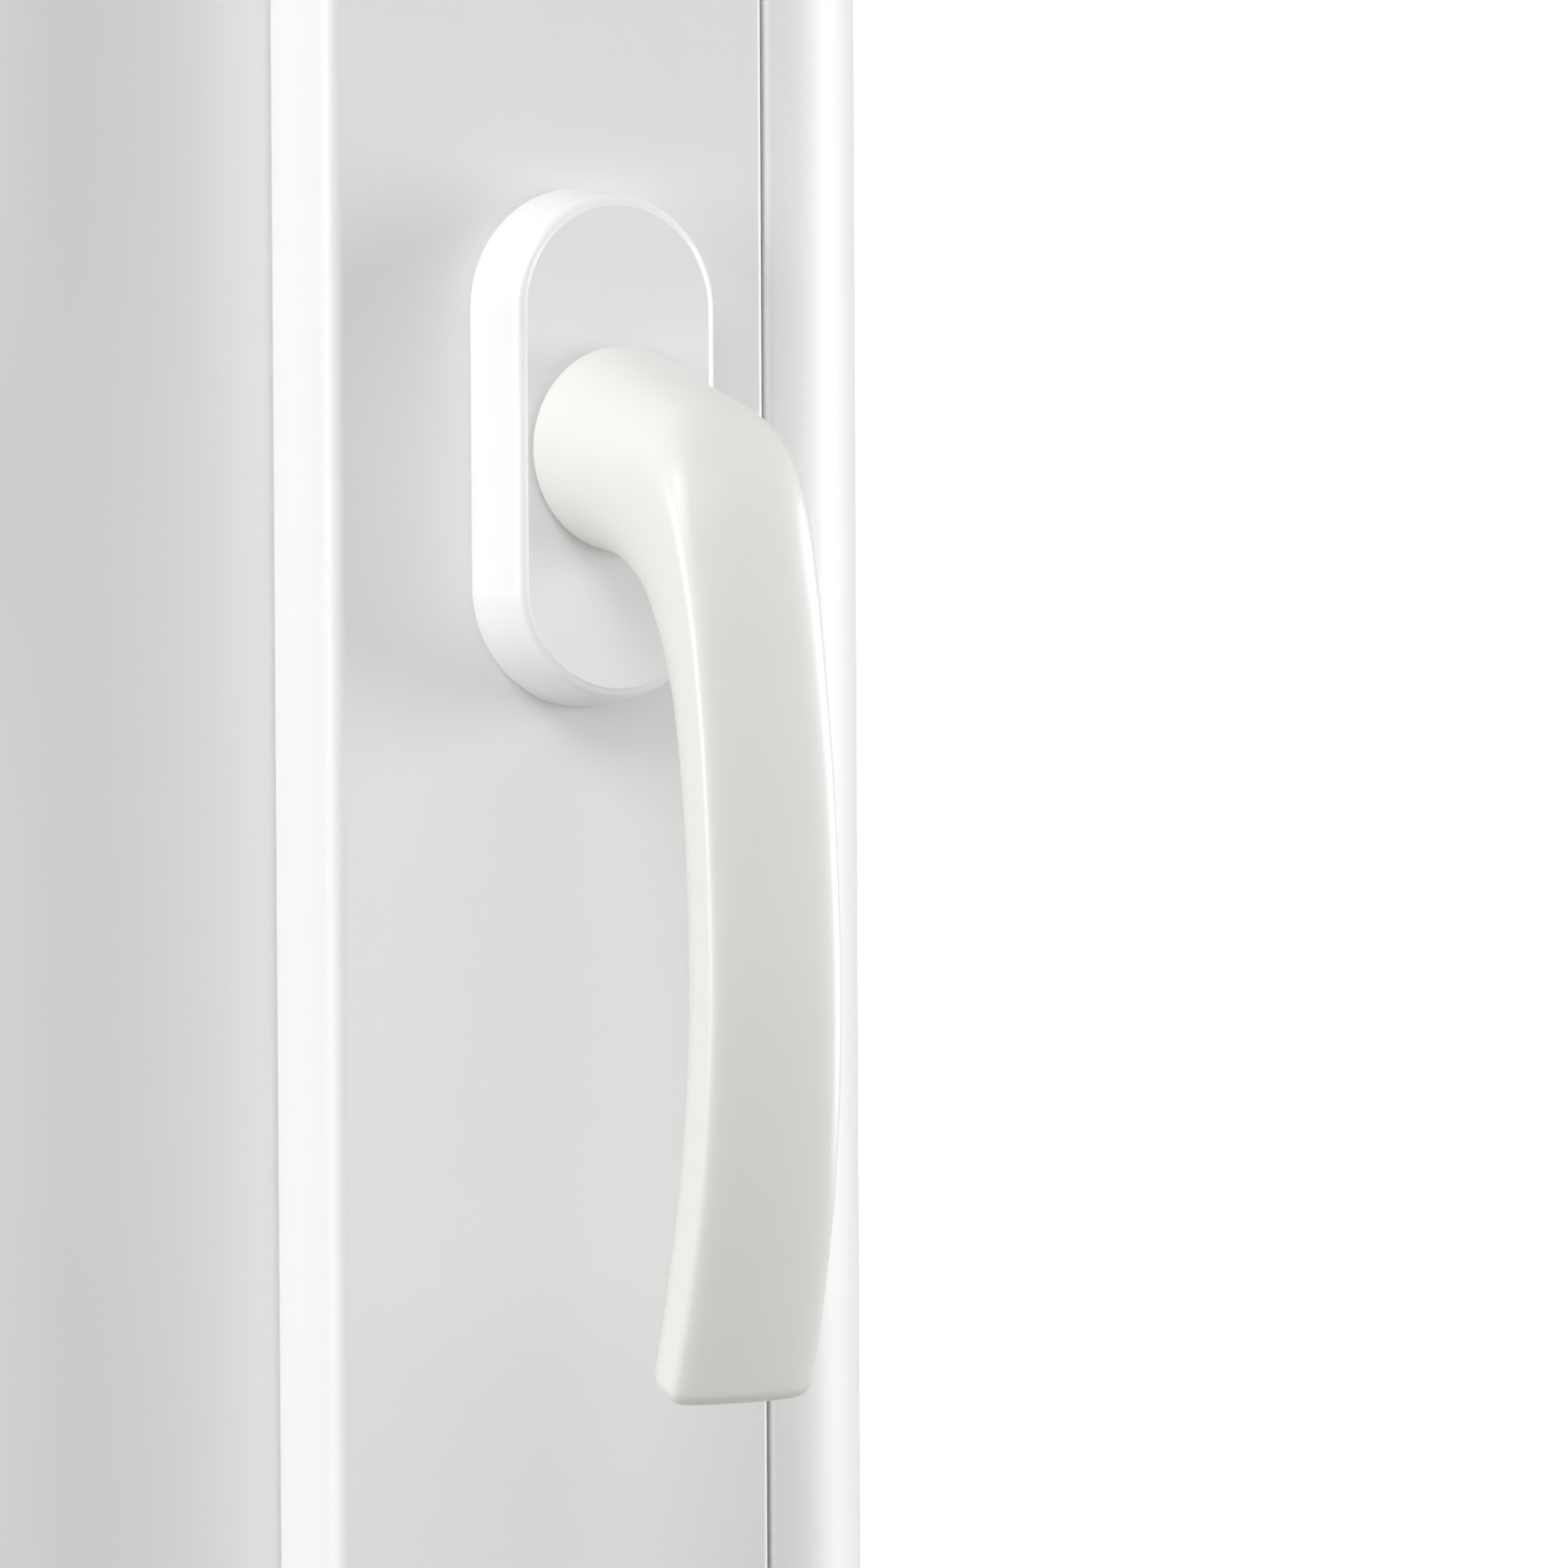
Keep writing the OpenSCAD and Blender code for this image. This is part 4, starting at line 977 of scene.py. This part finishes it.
def buildLever():
    side, deep = lever["socket"]
    hub, foot = lever["hub"], lever["foot"]
    rings = [squareRing(side, deep), squareRing(side, 2.2), squareRing(side + 0.8, 1.8),
             circleRing(hub - 0.4, 1.8), circleRing(hub, 2.2), circleRing(hub, foot - 0.3),
             circleRing(hub + 0.3, foot), leverRing(0, 0.6)]
    for k in (1, 2, 3):
        turn = math.pi / 2 * k / 3
        rings.append(leverRing(0.1 * (1 - math.cos(turn)), 0.6 * (1 - math.sin(turn))))
    last = len(lever["pairs"]) - 1
    run = np.linalg.norm(leverAt(last)[:2] - leverAt(last - 1)[:2])
    tip = lever["tip"]
    start = last - tip / run
    rings += [leverRing(t) for t in np.linspace(0.2, start, 100)]
    for k in range(1, 11):
        turn = math.pi / 2 * k / 10
        rings.append(leverRing(start + tip * math.sin(turn) / run, tip * (1 - math.cos(turn))))
    end = rings[-1]
    middle = end.mean(0)
    rings += [middle + (end - middle) * share for share in (0.7, 0.4, 0.12)]
    mesh = skinRings("lever", rings)
    finishPiece("leverArm", mesh, coat, "handle", "handle_lever", weighted=False, angle=40)


buildRosette()
buildLever()
print("handle made")


rounding = {"segments": 3, "angle": 35, "merge": 0.002, "flat": 0.6}


# A copy of a node with its flat faces joined and its sharp edges rounded
def refine(node, name, material, body, width):
    merge = rounding["merge"] * mm
    work = joinedWork(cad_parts[node].data, merge)
    bmesh.ops.dissolve_limit(work, angle_limit=math.radians(rounding["flat"]), verts=work.verts,
                             edges=work.edges)
    draft = showObject(name + "_draft", meshFromWork(name, work))
    modifier = draft.modifiers.new("edges", "BEVEL")
    modifier.width = width * mm
    modifier.segments = rounding["segments"]
    modifier.limit_method = "ANGLE"
    modifier.angle_limit = math.radians(rounding["angle"])
    finishPiece(name, meshFromWork(name, joinedWork(bake(draft), merge)), material, body, node)


# Each row: material, body, how wide the edges are rounded, and the nodes
refined = (
    (zinc, "frame", 0.35, ("striker_top", "striker_middle", "striker_bottom")),
    (coat, "frame", 0.5, ("hinge_frame_leaf_top", "hinge_frame_leaf_bottom")),
    (coat, "sash", 0.5, ("hinge_sash_leaf_top", "hinge_sash_leaf_bottom")),
    (zinc, "frame", 0.9, ("hinge_pin_top", "hinge_pin_bottom")),
    (coat, "frame", 1.3, ("hinge_frame_covers",)),
    (coat, "sash", 1.3, ("hinge_sash_covers",)),
    (pvcLevel, "frame", 0.45, ("drain_caps",)),
    (zinc, "sash", 0.3, ("faceplate",)),
    (zinc, "sash", 0.25, ("gear_case",)),
    (zinc, "sash", 0.3, ("rosette_base",)),
    (zinc, "handle", 0.3, ("handle_spindle",)),
    (steel, "handle", 0.15, ("handle_circlip",)),
    (zinc, "handle", 0.15, ("lock_pinion",)),
    (zinc, "drive_rod", 0.2, ("drive_rod",)),
    (zinc, "drive_rod", 0.35, ("roller_pins",)),
    *((zinc, roller, 0.5, (roller,)) for roller in ("roller_top", "roller_middle", "roller_bottom")),
    (glass, "sash", 0.5, ("pane_inner", "pane_outer")),
    (spacer, "sash", 0.4, ("spacer_bar",)),
    (blackSealant, "sash", 0.3, ("edge_sealant",)),
    (packerPlastic, "sash", 0.6, ("setting_blocks",)),
)
ownNames = {"faceplate": "faceplateBar", "handle_spindle": "spindleBar", "handle_circlip": "circlip",
            "lock_pinion": "pinion"}


def pieceName(node):
    first, *rest = node.split("_")
    return ownNames.get(node, first + "".join(word.capitalize() for word in rest))


for material, body, width, nodes in refined:
    for node in nodes:
        refine(node, pieceName(node), material, body, width)
print("metalwork and glass made")

for node in ("frame_steel_jambs", "frame_steel_rails", "sash_steel_stiles", "sash_steel_rails"):
    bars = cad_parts[node].data
    bars.materials.clear()
    bars.materials.append(steel)


# Puts a screw at each point, its axis along the point's facing
def makeScrewTree():
    board, given = newGroup("screwsOnPoints", {
        "Points": "Geometry", "Screw": "Object", "Size": "Float", "Turn": "Float", "Seed": "Int"})
    facing = board.node("GeometryNodeInputNamedAttribute", {"data_type": "FLOAT_VECTOR"}, {"Name": "facing"})
    aligned = board.node("FunctionNodeAlignRotationToVector", {"axis": "Z"}, {"Vector": facing})
    spin = board.node("FunctionNodeRandomValue", {"data_type": "FLOAT"},
                      {"Min": 0.0, "Max": given["Turn"], "Seed": given["Seed"]}, out=1)
    spun = board.node("ShaderNodeCombineXYZ", values={"X": 0.0, "Y": 0.0, "Z": spin})
    turned = board.node("FunctionNodeRotateRotation", {"rotation_space": "LOCAL"},
                        {"Rotation": aligned, "Rotate By": spun})
    screw = board.node("GeometryNodeObjectInfo", values={"Object": given["Screw"]}, out="Geometry")
    points = board.node("GeometryNodeMeshToPoints", values={"Mesh": given["Points"]})
    placed = board.node("GeometryNodeInstanceOnPoints", values={
        "Points": points, "Instance": screw, "Rotation": turned, "Scale": given["Size"]})
    return closeGroup(board, placed)


screwTree = makeScrewTree()


# A countersunk screw with a cross recess, its head's face at z = 0 and its point up the z axis
def screwMesh(head, shank, length, headDeep):
    thread, root = 1.3, shank * 0.78
    profile = [(0.0, 0.0), (head - 0.35, 0.0), (head - 0.08, 0.12), (head, 0.4), (shank, headDeep)]
    turns = int((length - headDeep - 2.5 * shank) / thread)
    for k in range(turns):
        z = headDeep + 0.6 + k * thread
        profile += [(root, z), (root, z + thread * 0.45), (shank, z + thread * 0.75)]
    profile += [(root, length - 1.8 * shank), (root * 0.45, length - 0.4 * shank), (0.0, length)]
    count = 24
    points, faces, previous = [], [], None
    for radius, z in profile:
        first = len(points)
        if radius == 0:
            points.append((0, 0, z))
            ring = [first] * count
        else:
            points += [(radius * math.cos(a), radius * math.sin(a), z)
                       for a in (2 * math.pi * k / count for k in range(count))]
            ring = list(range(first, first + count))
        if previous:
            for k in range(count):
                corners = [previous[k], previous[(k + 1) % count], ring[(k + 1) % count], ring[k]]
                faces.append(tuple(dict.fromkeys(corners)))
        previous = ring
    mesh = meshFromPydata("screw", [Vector(p) * mm for p in points], faces)
    tidyMesh(mesh)
    wing, slotHalf, deep = head * 0.58, head * 0.13, headDeep * 0.9
    low, high = Vector((-wing, -slotHalf, -1)) * mm, Vector((wing, slotHalf, deep)) * mm
    for turn in (0, math.pi / 2):
        cutter = boxMesh(low, high)
        cutter.transform(Matrix.Rotation(turn, 4, "Z"))
        mesh = tidyMesh(cutMesh(mesh, [cutter]))
    return mesh


# The boxes round the separate solids of a node
def solidBoxes(node):
    work = joinedWork(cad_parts[node].data, rounding["merge"] * mm)
    seen, boxes = set(), []
    for vertex in work.verts:
        stack, group = [vertex], []
        while stack:
            here = stack.pop()
            if here not in seen:
                seen.add(here)
                group.append(here.co.copy())
                stack += [edge.other_vert(here) for edge in here.link_edges]
        if group:
            boxes.append((Vector(map(min, *group)), Vector(map(max, *group))))
    work.free()
    return boxes


# Head and shank radius, head depth
shortScrew = (3.6, 2.0, 1.6)
handleScrew = (4.5, 2.5, 2.4)
# Each row: node, body, the way its screws point, the kind of screw
screwRows = (
    ("striker_screws", "frame", (-1, 0, 0), shortScrew),
    ("hinge_frame_screws", "frame", (0, 1, 0), shortScrew),
    ("hinge_sash_screws", "sash", (0, 1, 0), shortScrew),
    ("faceplate_screws", "sash", (1, 0, 0), shortScrew),
    ("handle_screws", "sash", (0, 1, 0), handleScrew),
)


def buildScrews():
    for seed, (node, body, facing, (head, shank, headDeep)) in enumerate(screwRows):
        name, places, length = pieceName(node), [], 0
        for low, high in solidBoxes(node):
            reach = abs((high - low).dot(Vector(facing))) / 2
            places.append((low + high) / 2 - Vector(facing) * reach)
            length = 2 * reach / mm
        points = meshFromPydata(name, places, [])
        pointing = points.attributes.new("facing", "FLOAT_VECTOR", "POINT")
        pointing.data.foreach_set("vector", facing * len(places))
        screw = showObject(name + "_screw", screwMesh(head, shank, length, headDeep))
        draft = showObject(name + "_draft", points)
        modifier = draft.modifiers.new("screws", "NODES")
        setInputs(modifier, screwTree, {"Screw": screw, "Size": 1.0, "Turn": math.pi, "Seed": seed})
        finishPiece(name, bake(draft, screw), zinc, body, node)
    print("screws made")


buildScrews()


studio = {
    "floorRadius": 1.9,
    "floorDrop": 0.0005,
    "floorFade": (0.7, 1.85),  # where the floor begins and ends fading into the backdrop
    "glow": (0.37, 0.35),  # of the surroundings, towards the room and towards the outside
    "backdrop": (0.9, 1.4),  # the same as the camera sees it
    "lights": {  # watts, place, width and height
        "leftFront": (16, (-1.5, -1.3, 1.9), (1.2, 0.8)),
        "leftSide": (20, (-2.1, -0.42, 0.9), (1.2, 1.0)),
        "rightSide": (39, (1.9, -0.62, 0.72), (1.0, 1.3)),
        "front": (5, (0.1, -2.3, 2.3), (1.2, 0.8)),
        "backLeft": (14, (-1.5, 1.7, 1.4), (1.3, 1.8)),
        "backRight": (14, (1.5, 1.7, 1.4), (1.3, 1.8)),
    },
}


def buildFloor():
    work = bmesh.new()
    bmesh.ops.create_circle(work, cap_ends=True, segments=160, radius=studio["floorRadius"])
    bmesh.ops.translate(work, verts=work.verts, vec=(0, 0, -studio["floorDrop"]))
    mesh = meshFromWork("floor", work)
    mesh.materials.append(makeFloor())
    showObject("floor", mesh)


def buildWorld():
    world = bpy.data.worlds.new("studio")
    board = clearNodes(world)
    coords = board.node("ShaderNodeTexCoord", out="Generated")
    y, z = board.parts(coords)[1:]
    outwards = board.smoothStep(y, -0.15, 0.45)
    upwards = board.smoothStep(z, -0.25, 0.25)

    def blend(roomSide, outSide):
        return roomSide + outwards * (outSide - roomSide)

    seen = board.node("ShaderNodeLightPath", out="Is Camera Ray")
    strength = seen * blend(*studio["backdrop"]) + (1 - seen) * blend(*studio["glow"]) * upwards
    sky = board.node("ShaderNodeBackground", values={"Color": (1, 0.998, 0.994, 1), "Strength": strength})
    board.node("ShaderNodeOutputWorld", values={"Surface": sky})
    bpy.context.scene.world = world


def addLight(name, power, place, size):
    light = bpy.data.lights.new(name, "AREA")
    light.energy = power
    light.shape = "RECTANGLE"
    light.size, light.size_y = size
    obj = showObject(name, light)
    obj.location = place
    aim = Vector((handleX, 0, handleZ)) - Vector(place)
    obj.rotation_euler = aim.to_track_quat("-Z", "Y").to_euler()


viewpoint = {
    "place": (-0.8445, -0.9918, 0.5910),
    "heading": 31.26,  # degrees to the right of straight at the window
    "dip": 1.931,
    "roll": -0.281,
    "lens": 184.2,
}


def addCamera():
    heading, dip, roll = (math.radians(viewpoint[k]) for k in ("heading", "dip", "roll"))
    ahead = Vector((math.sin(heading) * math.cos(dip), math.cos(heading) * math.cos(dip), -math.sin(dip)))
    right = Vector((math.cos(heading), -math.sin(heading), 0))
    level = Matrix((right, right.cross(ahead), -ahead)).transposed()
    turn = level @ Matrix.Rotation(roll, 3, "Z")
    data = bpy.data.cameras.new("camera")
    data.lens = viewpoint["lens"]
    data.sensor_width = 36
    data.clip_start = 0.05
    data.clip_end = 60
    camera = showObject("camera", data)
    camera.matrix_world = Matrix.Translation(viewpoint["place"]) @ turn.to_4x4()
    bpy.context.scene.camera = camera


buildFloor()
buildWorld()
for name, row in studio["lights"].items():
    addLight(name, *row)
addCamera()
bpy.context.scene.view_settings.view_transform = "Standard"
print("studio made")
